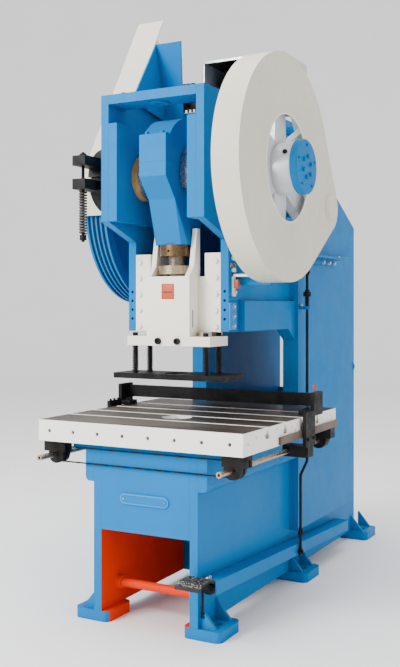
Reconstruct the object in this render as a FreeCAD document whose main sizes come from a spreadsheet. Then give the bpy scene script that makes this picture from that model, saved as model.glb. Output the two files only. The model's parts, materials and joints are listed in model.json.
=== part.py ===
import FreeCAD, Part
import math
import os
import re
import Sketcher

# Open-front eccentric press. Millimetres. +X to the operator's right, +Y to the rear, +Z up.
# The origin is on the floor, at the middle of the four corner anchor holes.

SIZES = {
    # running clearances
    "gap": 0.3, "run": 0.05,
    # frame plates
    "frame_half": 266, "plate": 40, "foot_thick": 48, "base_front": -1067, "guide_front": -776,
    "head_front": -1010, "column_front": -63, "column_rear": 949, "head_top": 2373,
    "head_bottom": 1799, "head_root": 1719, "throat_top": 1298, "base_top": 774, "slope_front": 2,
    "slope_rear_z": 1890, "throat_chamfer_y": 90, "throat_chamfer_z": 60, "beam_deep": 43,
    "beam_wide": 142, "doubler": 45, "arm_low": 627, "arm_high": 1440, "arm_front": -668,
    "arm_thick": 28, "arm_round": 22, "doubler_rear": 780, "doubler_low": 255,
    "doubler_high": 1700, "apron_low": 417, "web": 30, "web_y": -315, "deck_front": -490,
    # feet and anchor holes
    "foot_in": 190, "foot_out": 372, "foot_long": 199, "anchor_x": 316, "anchor_y": 967.5,
    "anchor_radius": 14, "gusset_wide": 75, "gusset_high": 90, "gusset_thick": 16,
    "gusset_inset": 22, "foot_round": 28,
    # foot rail and blank plate
    "rail_y": -928, "rail_z": 146, "rail_radius": 20, "collar_radius": 30, "collar_wide": 28,
    # bed and table
    "bed_half": 379, "bed_thick": 30, "table_half": 516, "table_thick": 96, "table_front": -1145,
    "table_rear": -66, "table_bore": 70, "slot_first": -907, "slot_pitch": 195, "slot_wide": 22,
    "slot_deep": 48, "slot_foot_wide": 38, "slot_foot_high": 18, "tap_radius": 8, "tap_pitch": 130,
    "tap_deep": 30,
    # crank, pitman and ram
    "crank_y": -780, "crank_z": 2016, "throw": 40, "journal": 75, "crankpin": 75, "cheek": 100,
    "housing_deep": 45, "housing_top": 2244, "housing_long": 460, "bush_wall": 20,
    "bush_flange": 107, "bush_flange_wide": 30, "pitman_half": 69, "pitman_foot_half": 86,
    "pitman_foot_z": 1696, "pitman_knee_z": 1897, "pitman_block_low": 1992,
    "pitman_block_high": 2180, "pitman_block": 219, "pitman_knee": 138, "pitman_foot": 70,
    "pitman_corner": 24, "big_end": 220, "cap_bolt": 11, "cap_bolt_x": 40, "cap_bolt_y": 198,
    "screw_radius": 42, "collar_big": 78, "collar_low": 1644, "collar_high": 1690, "tommy": 6,
    "tommy_deep": 12, "ring_radius": 86, "ring_low": 1561, "ring_high": 1600, "ball": 50,
    "ball_z": 1492, "ram_half": 112.5, "ram_front": -863, "ram_low": 1277, "ram_lip": 1551,
    "ram_cheek_in": 88, "ram_cheek_top": 1771, "cheek_toe": 42, "cheek_toe_high": 45,
    "cheek_lean": 75, "cheek_rear": -762, "ram_rear": -600, "way_half": 145, "way_vee": 26,
    "way_y": -696, "way_vee_half": 34, "pocket_low": 1425, "flange_half": 218, "flange_low": 1233,
    "flange_rear": -689, "shank_radius": 30, "shank_deep": 70, "clamp_x": 50, "clamp_radius": 15,
    "clamp_high": 12, "gib_rear": -610, "gib_top": 1658, "gib_bolt": 11, "gib_bolt_x": 203,
    "gib_bolt_z": 1320, "gib_bolt_pitch": 75, "gib_head": 9, "adjust_z": 1356, "adjust_pitch": 42,
    # stripper
    "strip_half": 290, "strip_front": -872, "strip_rear": -678, "strip_low": 1079,
    "strip_thick": 25, "strip_bore": 57, "guide_x": 186, "guide_y": 65, "guide_radius": 8,
    "guide_head": 14, "guide_head_high": 16, "guide_relief": 2, "strip_lift": 40, "coil_mean": 13,
    "coil_wire": 2.5, "coil_pitch": 11,
    # gear train
    "pinion_y": -272, "pinion_z": 1891.4, "gear_module": 10, "gear_in": 449, "gear_wide": 100,
    "rim_thick": 48, "hub_radius": 112, "hub_in": 408, "hub_out": 612, "spoke_wide": 70,
    "spoke_tip_wide": 44, "spoke_thick": 46, "disc_radius": 119, "disc_thick": 28, "disc_bolt": 9,
    "disc_bolt_ring": 46, "back_journal": 40, "cartridge": 80, "cartridge_flange": 105,
    "cartridge_flange_wide": 18, "wheel_radius": 461, "wheel_out": 549, "wheel_wide": 120,
    "groove_pitch": 26, "groove_wide": 17, "groove_deep": 23, "groove_lean": 12, "wheel_rim": 55,
    "wheel_web": 30, "wheel_hub": 85, "belt_wide": 8.2, "belt_deep": 9, "belt_sink": 11,
    # gear guard and belt guard
    "guard_radius": 497, "guard_lobe": 112, "guard_in": 438, "guard_out": 561, "sheet": 5,
    "guard_window": 235, "boss_radius": 60, "boss_high": 20, "belt_guard_radius": 477,
    "belt_guard_in": 417, "belt_guard_out": 574, "strip_end_y": -192, "strip_end_z": 2957,
    "strip_start_z": 1860,
    # motor
    "motor_y": 180, "motor_z": 2627, "motor_radius": 112, "motor_left": -200, "motor_right": 160,
    "motor_shaft": 19, "pulley_radius": 75, "hood_left": -290, "hood_right": 190, "hood_front": 20,
    "hood_rear": 360, "hood_top": 2769, "mount_top": 2490, "mount_thick": 15, "cheek_thick": 24,
    # tower bracket on the head
    "tower_x": -207, "tower_sheet": 8, "tower_wide": 138, "tower_wide_low": 87,
    "tower_top_y": -622, "tower_top_z": 2695, "tower_foot_y": -505, "tower_foot_z": 2300,
    "tower_ear_y": -840,
    # brake
    "brake_in": 300, "brake_out": 390, "drum_radius": 130, "shoe_thick": 26, "brake_stud_y": -1040,
    "brake_stud_radius": 7, "brake_nut": 17, "brake_arm_wide": 70, "upper_arm_low": 2055,
    "upper_arm_high": 2100, "lower_arm_low": 1947, "lower_arm_high": 1994, "brake_coil_low": 1740,
    "brake_coil_mean": 15, "brake_coil_wire": 4.4, "brake_coil_pitch": 12.5,
    # back gauge
    "gauge_y": -354, "gauge_half": 527, "gauge_low": 937, "gauge_high": 998, "gauge_thick": 24,
    "end_high": 1041, "lead_x": 448, "lead_z": 741, "lead_radius": 12.5, "lead_front": -1228,
    "lead_rear": -73, "chain_y": -1080, "sprocket": 32, "sprocket_wide": 10, "fork_room": 8,
    "fork_cheek": 19, "chain_thick": 4, "bearing_wide": 116, "bearing_long": 60,
    "carriage_front": -545, "carriage_rear": -428, "carriage_high": 927, "carriage_in": 531,
    "carriage_thick": 16, "nut_low": 715, "nut_high": 768, "bar_low": 808, "bar_high": 841,
    "bar_thick": 12,
    # small plates and brackets
    "rear_low": 300, "rear_sill": 900, "throat_web_front": -540, "beam_boss": 45,
    "beam_boss_high": 8, "beam_hole": 16, "stay_wide": 30, "stay_thick": 8, "arm_half": 18,
    "bar_front": -60, "bar_rear": 470, "bar_z": 1672, "bar_sheet": 12, "bar_reach": 60,
    "bar_drop": 32, "bearing_round": 41,
    # treadle and trip rod
    "ledge_front": -1040, "ledge_rear": 620, "ledge_front_z": 255, "ledge_rear_z": 174,
    "ledge_out": 343, "ledge_thick": 8, "ledge_lip": 60, "pedal_in": 243, "pedal_out": 360,
    "pedal_front": -1228, "pedal_rear": -1081, "pedal_top": 284, "pivot_y": 560, "pivot_z": 128,
    "pivot_radius": 10, "lever_in": 290, "lever_out": 315, "lever_high": 40, "lever_drop": 14,
    "rod_x": 352, "rod_y": -40, "rod_low_y": -130, "rod_radius": 7, "rod_top": 1600,
    "rod_bend_high": 616, "rod_bend_low": 556, "stop_z": 1476, "stop_radius": 20, "stop_high": 24,
    "eye_z": 1398, "eye_bore": 12, "eye_out": 18, "eye_high": 16, "eye_radius": 18, "trip_y": -150,
    "trip_wide": 34,
}

BALL_SLOT = "(ball + gap)"
BED_TOP = "(base_top + bed_thick)"
TABLE_TOP = "(base_top + bed_thick + table_thick)"
INNER = "(frame_half - plate)"
HOUSING_IN = "(frame_half - plate - housing_deep)"
DOUBLER_OUT = "(frame_half + doubler)"
PIN_Z = "(crank_z + throw)"
STRIP_TOP = "(strip_low + strip_thick)"
SLOPE = "((head_top - slope_rear_z) / (column_rear - slope_front))"
LEDGE_FALL = "((ledge_front_z - ledge_rear_z) / (ledge_rear - ledge_front))"
GEAR_TEETH = 92
PINION_TEETH = 13
BELTS = 4
COIL_GAP = "(2 * gap)"

doc = FreeCAD.newDocument("press")
sheet = doc.addObject("Spreadsheet::Sheet", "Sizes")
for row, (alias, number) in enumerate(SIZES.items(), start=1):
    sheet.set(f"A{row}", alias)
    sheet.set(f"B{row}", str(number))
    sheet.setAlias(f"B{row}", alias)
doc.recompute()

WORD = re.compile(r"[a-z_]+")
X_AXIS, Y_AXIS, Z_AXIS = FreeCAD.Vector(1, 0, 0), FreeCAD.Vector(0, 1, 0), FreeCAD.Vector(0, 0, 1)
TURN = {
    "X": FreeCAD.Rotation(Y_AXIS, 90),
    "Y": FreeCAD.Rotation(X_AXIS, -90),
    "Z": FreeCAD.Rotation(),
}
AXES = {"X": X_AXIS, "Y": Y_AXIS, "Z": Z_AXIS}
PLANES = {"YZ": "YZ_Plane", "XZ": "XZ_Plane", "XY": "XY_Plane"}
nodes = {}


def bound(text):
    """An expression whose size names point at the sheet."""
    def swap(match):
        word = match.group(0)
        return f"Sizes.{word}" if word in SIZES else word
    return WORD.sub(swap, str(text))


def bind(thing, prop, text):
    thing.setExpression(prop, bound(text))


def number_of(text):
    return float(sheet.evalExpression(bound(text)))


def keep(name, thing):
    """Gives a finished sub-part the label that names its file."""
    thing.Label = name
    nodes[name] = thing
    return thing


def locate(thing, point, axis="Z"):
    thing.Placement = FreeCAD.Placement(FreeCAD.Vector(), TURN[axis])
    for letter, text in zip("xyz", point):
        bind(thing, f"Placement.Base.{letter}", text)


def block(x, y, z):
    """A box between three pairs of expressions."""
    box = doc.addObject("Part::Box", "block")
    for prop, (low, high) in zip(("Length", "Width", "Height"), (x, y, z)):
        bind(box, prop, f"({high}) - ({low})")
    locate(box, (x[0], y[0], z[0]))
    return box


def start_point(axis, across, low):
    """The low end of a round piece, from its two places across the axis and its place along it."""
    return {"X": (low, *across), "Y": (across[0], low, across[1]), "Z": (*across, low)}[axis]


def rod(axis, across, span, radius):
    """A cylinder along an axis, at two places across it, between two places along it."""
    cylinder = doc.addObject("Part::Cylinder", "rod")
    bind(cylinder, "Radius", radius)
    bind(cylinder, "Height", f"({span[1]}) - ({span[0]})")
    locate(cylinder, start_point(axis, across, span[0]), axis)
    return cylinder


def cut(base, *tools):
    for tool in tools:
        result = doc.addObject("Part::Cut", "cut")
        result.Base = base
        result.Tool = tool
        base = result
    return base


def fuse(*parts):
    result = doc.addObject("Part::MultiFuse", "fuse")
    result.Shapes = list(parts)
    return result


def common(first, second):
    result = doc.addObject("Part::Common", "common")
    result.Base = first
    result.Tool = second
    return result


def group(*parts):
    result = doc.addObject("Part::Compound", "group")
    result.Links = list(parts)
    return result


def mirror(source):
    """The same piece on the other side of the middle plane."""
    result = doc.addObject("Part::Mirroring", "mirror")
    result.Source = source
    result.Normal = X_AXIS
    return result


def on_plane(body, sketch, plane, offset):
    for feature in body.Origin.OriginFeatures:
        if feature.Role == PLANES[plane]:
            sketch.AttachmentSupport = [(feature, "")]
    sketch.MapMode = "FlatFace"
    sign = "-" if plane == "XZ" else ""
    bind(sketch, "AttachmentOffset.Base.z", f"{sign}({offset})")


def polygon(sketch, outline):
    """A closed outline whose corners are held by bound distances from the origin."""
    count = len(outline)
    first = sketch.GeometryCount
    for corner in range(count):
        turn = 2 * math.pi / count
        start = FreeCAD.Vector(math.cos(turn * corner), math.sin(turn * corner), 0)
        end = FreeCAD.Vector(math.cos(turn * (corner + 1)), math.sin(turn * (corner + 1)), 0)
        sketch.addGeometry(Part.LineSegment(start, end))
    for corner in range(count):
        line = first + corner
        following = first + (corner + 1) % count
        sketch.addConstraint(Sketcher.Constraint("Coincident", line, 2, following, 1))
        for kind, text in zip(("DistanceX", "DistanceY"), outline[corner]):
            index = sketch.addConstraint(Sketcher.Constraint(kind, -1, 1, line, 1, 1.0))
            bind(sketch, f"Constraints[{index}]", text)


def circle(sketch, across, up, radius):
    geometry = sketch.addGeometry(Part.Circle(FreeCAD.Vector(1, 1, 0), Z_AXIS, 1))
    for kind, text in (("DistanceX", across), ("DistanceY", up)):
        index = sketch.addConstraint(Sketcher.Constraint(kind, -1, 1, geometry, 3, 1.0))
        bind(sketch, f"Constraints[{index}]", text)
    index = sketch.addConstraint(Sketcher.Constraint("Radius", geometry, 1.0))
    bind(sketch, f"Constraints[{index}]", radius)


def padded(plane, span, draw):
    """A body: one sketch on an origin plane, padded between two places along its normal."""
    body = doc.addObject("PartDesign::Body", "body")
    sketch = body.newObject("Sketcher::SketchObject", "sketch")
    low, high = span
    on_plane(body, sketch, plane, high if plane == "XZ" else low)
    draw(sketch)
    pad = body.newObject("PartDesign::Pad", "pad")
    pad.Profile = sketch
    bind(pad, "Length", f"({high}) - ({low})")
    body.Tip = pad
    return body


def prism(plane, span, outline, holes=()):
    """A plate cut to a straight-sided outline, with round holes (across, up, radius)."""
    def draw(sketch):
        polygon(sketch, outline)
        for hole in holes:
            circle(sketch, *hole)
    return padded(plane, span, draw)


def rounded(body, axis, corners, radius):
    """Fillets the edges along an axis that pass through the given corners of the outline."""
    doc.recompute()
    pad = body.Tip
    places = "XYZ".replace(axis, "")
    chosen = []
    for number, edge in enumerate(pad.Shape.Edges, start=1):
        ends = [vertex.Point for vertex in edge.Vertexes]
        if len(ends) != 2 or (ends[0] - ends[1]).normalize().cross(AXES[axis]).Length > 1e-6:
            continue
        here = tuple(getattr(ends[0], letter.lower()) for letter in places)
        if any(math.dist(here, [number_of(text) for text in corner]) < 0.01 for corner in corners):
            chosen.append(f"Edge{number}")
    fillet = body.newObject("PartDesign::Fillet", "fillet")
    fillet.Base = (pad, chosen)
    bind(fillet, "Radius", radius)
    body.Tip = fillet
    return body


def turned(axis, across, start, profile):
    """A turned piece: its half section as (radius, distance along) corners, spun round its axis."""
    body = doc.addObject("PartDesign::Body", "body")
    sketch = body.newObject("Sketcher::SketchObject", "sketch")
    on_plane(body, sketch, "XZ", "0")
    polygon(sketch, profile)
    spin = body.newObject("PartDesign::Revolution", "spin")
    spin.Profile = sketch
    spin.ReferenceAxis = (sketch, ["V_Axis"])
    spin.Angle = 360
    body.Tip = spin
    locate(body, start_point(axis, across, start), axis)
    return body


def wrapped(axis, span, first, second):
    """A solid round two circles, each (across, up, radius): two cylinders and the run between them."""
    run = f"hypot({second[0]} - ({first[0]}); {second[1]} - ({first[1]}))"
    heading = f"atan2({second[1]} - ({first[1]}); {second[0]} - ({first[0]}))"
    lean = f"acos(({first[2]} - ({second[2]})) / {run})"

    def touch(ring, sign):
        turn = f"({heading} {sign} {lean})"
        return f"{ring[0]} + ({ring[2]}) * cos({turn})", f"{ring[1]} + ({ring[2]}) * sin({turn})"

    corners = (touch(first, "+"), touch(second, "+"), second[:2],
               touch(second, "-"), touch(first, "-"), first[:2])
    rounds = [rod(axis, ring[:2], span, ring[2]) for ring in (first, second)]
    return fuse(prism({"X": "YZ", "Y": "XZ"}[axis], span, corners), *rounds)


def coil(across, span, mean, wire, pitch):
    """A round-wire compression spring along Z, whose wire ends just reach both of its seats."""
    helix = doc.addObject("Part::Helix", "helix")
    bind(helix, "Radius", mean)
    bind(helix, "Pitch", pitch)
    bind(helix, "Height", f"({span[1]}) - ({span[0]}) - 2 * ({wire}) - {COIL_GAP}")
    section = doc.addObject("Part::Circle", "section")
    bind(section, "Radius", wire)
    section.Placement = FreeCAD.Placement(FreeCAD.Vector(), FreeCAD.Rotation(X_AXIS, 90))
    bind(section, "Placement.Base.x", mean)
    sweep = doc.addObject("Part::Sweep", "sweep")
    sweep.Sections = [section]
    sweep.Spine = (helix, [])
    sweep.Solid = True
    sweep.Frenet = True
    locate(sweep, (*across, f"({span[0]}) + ({wire}) + gap"))
    return sweep


def hexagon(axis, across, span, radius):
    """A hexagonal bolt head or nut."""
    prism_shape = doc.addObject("Part::Prism", "hexagon")
    prism_shape.Polygon = 6
    bind(prism_shape, "Circumradius", radius)
    bind(prism_shape, "Height", f"({span[1]}) - ({span[0]})")
    locate(prism_shape, start_point(axis, across, span[0]), axis)
    return prism_shape


# ---------------------------------------------------------------- frame

def side_plate():
    """One C-shaped cheek of the frame, bored for the crankshaft and the back shaft."""
    outline = (
        ("base_front", "foot_thick"), ("base_front", "base_top"), ("column_front", "base_top"),
        ("column_front", "throat_top - throat_chamfer_z"),
        ("column_front - throat_chamfer_y", "throat_top"), ("guide_front", "throat_top"),
        ("guide_front", "head_root"), ("head_front", "head_bottom"), ("head_front", "head_top"),
        ("slope_front", "head_top"), ("column_rear", "slope_rear_z"), ("column_rear", "foot_thick"),
    )
    bores = (
        ("crank_y", "crank_z", "journal + bush_wall"),
        ("pinion_y", "pinion_z", "cartridge"),
    )
    plate = prism("YZ", (INNER, "frame_half"), outline, bores)
    holes = [rod("Y", (f"{INNER} + plate / 2", f"adjust_z + {step} * adjust_pitch"),
                 ("guide_front - 1", "guide_front + 20"), "6") for step in range(4)]
    return cut(plate, *holes)


def doubler():
    """The outer plates of one cheek: column and lower arm in one piece, and a thinner upper arm."""
    column = rounded(prism("YZ", ("frame_half", DOUBLER_OUT), (
        ("base_front", "arm_low"), ("base_front", "base_top"), ("column_front", "base_top"),
        ("column_front", "doubler_high"), ("doubler_rear", "doubler_high"), ("doubler_rear", "doubler_low"),
        ("column_front", "doubler_low"), ("column_front", "arm_low"),
    )), "Y", [(DOUBLER_OUT, "arm_low")], "arm_round")
    arm = prism("YZ", ("frame_half", "frame_half + arm_thick"), (
        ("arm_front", "throat_top"), ("arm_front", "arm_high"), ("column_front", "arm_high"),
        ("column_front", "throat_top - throat_chamfer_z"), ("column_front - throat_chamfer_y", "throat_top"),
    ))
    return fuse(column, arm)


def both_sides(name, piece):
    keep(f"{name}_right", piece)
    keep(f"{name}_left", mirror(piece))


both_sides("side_plate", side_plate())
arm_plate = doubler()
keep("doubler_plates", group(arm_plate, mirror(arm_plate)))
ACROSS = (f"-{INNER}", INNER)
keep("base_front_plate", block(ACROSS, ("base_front", "base_front + plate"), ("apron_low", "base_top")))
REAR = ("column_rear - web", "column_rear")
beam_y = "head_front + beam_wide / 2"
beam_low = "(head_top - beam_deep)"
head_beam = cut(
    fuse(
        block(ACROSS, ("head_front", "head_front + beam_wide"), (beam_low, "head_top")),
        rod("Z", ("0", beam_y), (f"{beam_low} - beam_boss_high", beam_low), "beam_boss"),
    ),
    rod("Z", ("0", beam_y), (f"{beam_low} - beam_boss_high - 1", "head_top + 1"), "beam_hole"),
)
rear_deck = fuse(
    block(ACROSS, ("deck_front", "slope_front"), ("head_top - plate", "head_top")),
    prism("YZ", ACROSS, (
        ("slope_front", "head_top - plate"), ("slope_front", "head_top"),
        ("column_rear", "slope_rear_z"), ("column_rear", "slope_rear_z - plate"),
    )),
)
keep("cross_plates", group(
    head_beam, rear_deck,
    block(ACROSS, ("web_y", "web_y + web"), ("foot_thick", "base_top")),
    block(ACROSS, REAR, ("rear_low", "rear_sill")),
    block(ACROSS, REAR, ("arm_high", "slope_rear_z - plate")),
    block(ACROSS, ("throat_web_front", "column_front + plate"), ("throat_top", "throat_top + web")),
))


def bearing_housing():
    """The thick boss plate inside a cheek that carries a main bush."""
    half = "(housing_long / 2)"
    plate = prism("YZ", (HOUSING_IN, INNER), (
        ("head_front", "head_bottom"), ("head_front", "housing_top"),
        (f"crank_y + {half}", "housing_top"), (f"crank_y + {half}", "head_bottom"),
    ), [("crank_y", "crank_z", "journal + bush_wall")])
    return plate


housing = bearing_housing()
keep("bearing_housings", group(housing, mirror(housing)))
bush = cut(
    fuse(
        rod("X", ("crank_y", "crank_z"), (HOUSING_IN, "frame_half"), "journal + bush_wall"),
        rod("X", ("crank_y", "crank_z"), (f"{HOUSING_IN} - bush_flange_wide", HOUSING_IN), "bush_flange"),
    ),
    rod("X", ("crank_y", "crank_z"), (f"{HOUSING_IN} - 100", "frame_half + 10"), "journal + run"),
)
keep("main_bushes", group(bush, mirror(bush)))


def foot(middle):
    """One floor pad with its two welded gussets, at a place along the frame."""
    front, rear = f"(({middle}) - foot_long / 2)", f"(({middle}) + foot_long / 2)"
    corners = (("foot_in", front), ("foot_out", front), ("foot_out", rear), ("foot_in", rear))
    pad = rounded(prism("XY", ("0", "foot_thick"), corners), "Z", corners, "foot_round")
    hole = rod("Z", ("anchor_x", middle), ("-1", "foot_thick + 1"), "anchor_radius")
    gussets = [prism("XZ", (place, f"{place} + gusset_thick"), (
        ("frame_half", "foot_thick"), ("frame_half + gusset_wide", "foot_thick"),
        ("frame_half", "foot_thick + gusset_high"),
    )) for place in (f"{front} + gusset_inset", f"{rear} - gusset_inset - gusset_thick")]
    return fuse(cut(pad, hole), *gussets)


right_feet = group(foot("-anchor_y"), foot("0"), foot("anchor_y"))
keep("mounting_feet", group(right_feet, mirror(right_feet)))
keep("foot_rail", fuse(
    rod("X", ("rail_y", "rail_z"), (f"-{INNER}", INNER), "rail_radius"),
    rod("X", ("rail_y", "rail_z"), (f"-{INNER}", f"collar_wide - {INNER}"), "collar_radius"),
))


# ---------------------------------------------------------------- bed and table

keep("bed_plate", cut(
    block(("-bed_half", "bed_half"), ("base_front", "table_rear"), ("base_top", BED_TOP)),
    rod("Z", ("0", "crank_y"), ("base_top - 1", f"{BED_TOP} + 1"), "table_bore"),
))


def bolster():
    """The table: T-slots across it, a round clearing hole and a row of tapped holes in front."""
    body = block(("-table_half", "table_half"), ("table_front", "table_rear"), (BED_TOP, TABLE_TOP))
    tools = [rod("Z", ("0", "crank_y"), (f"{BED_TOP} - 1", f"{TABLE_TOP} + 1"), "table_bore")]
    past = ("-table_half - 1", "table_half + 1")
    for slot in range(4):
        middle = f"(slot_first + {slot} * slot_pitch)"
        tools.append(block(past, (f"{middle} - slot_wide / 2", f"{middle} + slot_wide / 2"),
                           (f"{TABLE_TOP} - slot_deep", f"{TABLE_TOP} + 1")))
        tools.append(block(past, (f"{middle} - slot_foot_wide / 2", f"{middle} + slot_foot_wide / 2"),
                           (f"{TABLE_TOP} - slot_deep", f"{TABLE_TOP} - slot_deep + slot_foot_high")))
    for step in range(8):
        across = f"({step} - 3.5) * tap_pitch"
        tools.append(rod("Y", (across, f"{TABLE_TOP} - table_thick / 2"),
                         ("table_front - 1", "table_front + tap_deep"), "tap_radius"))
    return cut(body, fuse(*tools))


keep("bolster_table", bolster())


# ---------------------------------------------------------------- ram, gibs and stripper

def ram_body():
    """The slide: a block with vee ways, a pocket for the ball seat and two leaning cheeks."""
    vee_front, vee_rear = "(way_y - way_vee_half)", "(way_y + way_vee_half)"
    half = (
        ("ram_half", "ram_front"), ("ram_half", "guide_front"), ("way_half - gap", "guide_front"),
        ("way_half - gap", vee_front), ("way_half - gap + way_vee", "way_y"),
        ("way_half - gap", vee_rear), ("way_half - gap", "ram_rear"),
    )
    outline = half + tuple((f"-({across})", along) for across, along in reversed(half))
    body = prism("XY", ("ram_low", "ram_lip"), outline)
    cheek = prism("YZ", ("ram_cheek_in", "ram_half"), (
        ("ram_front", "ram_lip"), ("ram_front + cheek_toe", "ram_lip + cheek_toe_high"),
        ("ram_front + cheek_lean", "ram_cheek_top"), ("cheek_rear", "ram_cheek_top"),
        ("cheek_rear", "ram_lip"),
    ))
    slot = block((f"-{BALL_SLOT}", BALL_SLOT),
                 ("crank_y", "crank_y + throw"), ("pocket_low", "ram_lip + 1"))
    pocket = [rod("Z", ("0", place), ("pocket_low", "ram_lip + 1"), BALL_SLOT)
              for place in ("crank_y", "crank_y + throw")]
    socket = rod("Z", ("0", "crank_y"), ("ram_low - 1", "ram_low + shank_deep - flange_low + ram_low"),
                 "shank_radius")
    return cut(fuse(body, cheek, mirror(cheek)), slot, *pocket, socket)


keep("ram", ram_body())
flange = block(("-flange_half", "flange_half"), ("ram_front - 1", "flange_rear"), ("flange_low", "ram_low"))
guide_spots = [(f"{side} * guide_x", f"crank_y + {end} * guide_y") for side in (-1, 1) for end in (-1, 1)]
guide_holes = [rod("Z", spot, ("flange_low - 1", "ram_low + 1"), "guide_radius + gap")
               for spot in guide_spots]
shank_bore = rod("Z", ("0", "crank_y"), ("flange_low - 1", "ram_low + 1"), "shank_radius")
keep("ram_flange", cut(flange, *guide_holes, shank_bore))
clamp_bolts = []
for side in (-1, 1):
    spot = (f"{side} * clamp_x", "(flange_low + ram_low) / 2")
    head = rod("Y", spot, ("ram_front - 1 - clamp_high", "ram_front - 1"), "clamp_radius")
    socket = hexagon("Y", spot, ("ram_front - 2 - clamp_high", "ram_front - 6"), "clamp_radius / 2")
    clamp_bolts.append(cut(head, socket))
keep("clamp_screws", group(*clamp_bolts))


def gib():
    """A guide strip with a vee groove for the ram's way, relieved at its foot over a stripper bolt."""
    strip = prism("XY", ("throat_top", "gib_top"), (
        ("way_half", "guide_front"), (INNER, "guide_front"), (INNER, "gib_rear"), ("way_half", "gib_rear"),
        ("way_half", "way_y + way_vee_half"), ("way_half + way_vee", "way_y"),
        ("way_half", "way_y - way_vee_half"),
    ))
    relief = rod("Z", ("guide_x", "crank_y + guide_y"),
                 ("throat_top - 1", "ram_low + guide_head_high + strip_lift + guide_relief"),
                 "guide_head + guide_relief")
    return cut(strip, relief)


guide_strip = gib()
keep("gibs", group(guide_strip, mirror(guide_strip)))
right_screws = [rod("Y", ("gib_bolt_x", f"gib_bolt_z + {step} * gib_bolt_pitch"),
                    ("guide_front - gib_head", "guide_front"), "gib_bolt") for step in range(5)]
right_screws += [hexagon("X", ("guide_front + plate", f"arm_high + 30 + {step} * 1.3 * adjust_pitch"),
                         ("frame_half", "frame_half + 14"), "gib_bolt") for step in range(4)]
side_screws = group(*right_screws)
keep("gib_screws", group(side_screws, mirror(side_screws)))

plate = block(("-strip_half", "strip_half"), ("strip_front", "strip_rear"), ("strip_low", STRIP_TOP))
keep("stripper_plate", cut(
    plate, rod("Z", ("0", "crank_y"), ("strip_low - 1", f"{STRIP_TOP} + 1"), "strip_bore")))
keep("stripper_bolts", group(*[
    fuse(
        rod("Z", spot, (STRIP_TOP, "ram_low + gap"), "guide_radius"),
        hexagon("Z", spot, ("ram_low + gap", "ram_low + gap + guide_head_high"), "guide_head"),
    ) for spot in guide_spots]))
keep("stripper_springs", group(*[
    coil(spot, (STRIP_TOP, "flange_low"), "coil_mean", "coil_wire", "coil_pitch") for spot in guide_spots]))


# ---------------------------------------------------------------- crankshaft and pitman

web_in, web_out = "pitman_half + gap + 2", f"{HOUSING_IN} - bush_flange_wide - gap"


def crank_web():
    """One crank cheek: a disc on the shaft's axis joined to a disc on the crankpin's axis."""
    span = (web_in, web_out)
    return fuse(
        rod("X", ("crank_y", "crank_z"), span, "cheek"),
        rod("X", ("crank_y", PIN_Z), span, "cheek - 6"),
    )


web = crank_web()
keep("crankshaft", fuse(
    rod("X", ("crank_y", "crank_z"), ("-brake_out - 6", f"-({web_in})"), "journal"),
    rod("X", ("crank_y", "crank_z"), (web_in, "hub_out"), "journal"),
    rod("X", ("crank_y", PIN_Z), (f"-({web_in})", web_in), "crankpin"),
    web, mirror(web),
))


def pitman_blank():
    """The forked outline of the connecting rod, seen from the side, with its big end bored."""
    front = (
        ("crank_y - pitman_block", PIN_Z), ("crank_y - pitman_block", "pitman_block_low"),
        ("crank_y - pitman_knee", "pitman_knee_z"),
    )
    rear = tuple((place.replace("crank_y -", "crank_y +"), up) for place, up in reversed(front))
    upper = prism("YZ", ("-pitman_half", "pitman_half"), front + rear)
    lower = doc.addObject("Part::Loft", "lower")
    sections = []
    for up, across, along, corner in (
            ("pitman_knee_z", "pitman_half", "pitman_knee", "1"),
            ("pitman_foot_z", "pitman_foot_half", "pitman_foot", "pitman_corner")):
        sketch = doc.addObject("Sketcher::SketchObject", "section")
        quarter = ((across, f"{along} - {corner}"), (f"{across} - {corner}", along))
        outline = []
        for sign_x, sign_y in ((1, 1), (-1, 1), (-1, -1), (1, -1)):
            pair = quarter if sign_x == sign_y else quarter[::-1]
            outline += [(f"{sign_x} * ({x})", f"crank_y + {sign_y} * ({y})") for x, y in pair]
        polygon(sketch, outline)
        locate(sketch, ("0", "0", up))
        sections.append(sketch)
    lower.Sections = sections
    lower.Solid = True
    lower.Ruled = True
    bore = rod("X", ("crank_y", PIN_Z), ("-pitman_half - 60", "pitman_half + 60"), "crankpin + run")
    screw_hole = rod("Z", ("0", "crank_y"), ("pitman_foot_z - 1", "pitman_knee_z"), "screw_radius")
    return cut(fuse(upper, lower), bore, screw_hole)


keep("pitman", pitman_blank())
cap_round = common(
    rod("X", ("crank_y", PIN_Z), ("-pitman_half", "pitman_half"), "big_end"),
    block(("-pitman_half", "pitman_half"), ("crank_y - pitman_block", "crank_y + pitman_block"),
          (PIN_Z, f"{PIN_Z} + big_end + 1")),
)
cap_lugs = block(("-pitman_half", "pitman_half"),
                 ("crank_y - pitman_block", "crank_y + pitman_block"), (PIN_Z, "pitman_block_high"))
keep("pitman_cap", cut(
    fuse(cap_round, cap_lugs),
    rod("X", ("crank_y", PIN_Z), ("-pitman_half - 1", "pitman_half + 1"), "crankpin + run")))
cap_spots = [(f"{side} * cap_bolt_x", f"crank_y + {end} * cap_bolt_y") for side in (-1, 1) for end in (-1, 1)]
keep("cap_bolts", group(*[
    hexagon("Z", spot, ("pitman_block_high", "pitman_block_high + 14"), "cap_bolt") for spot in cap_spots]))
ball = doc.addObject("Part::Sphere", "ball")
bind(ball, "Radius", "ball")
locate(ball, ("0", "crank_y", "ball_z"))
screw = rod("Z", ("0", "crank_y"), ("ball_z + ball / 2", "pitman_knee_z"), "screw_radius")
keep("ball_screw", fuse(ball, screw))
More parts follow.
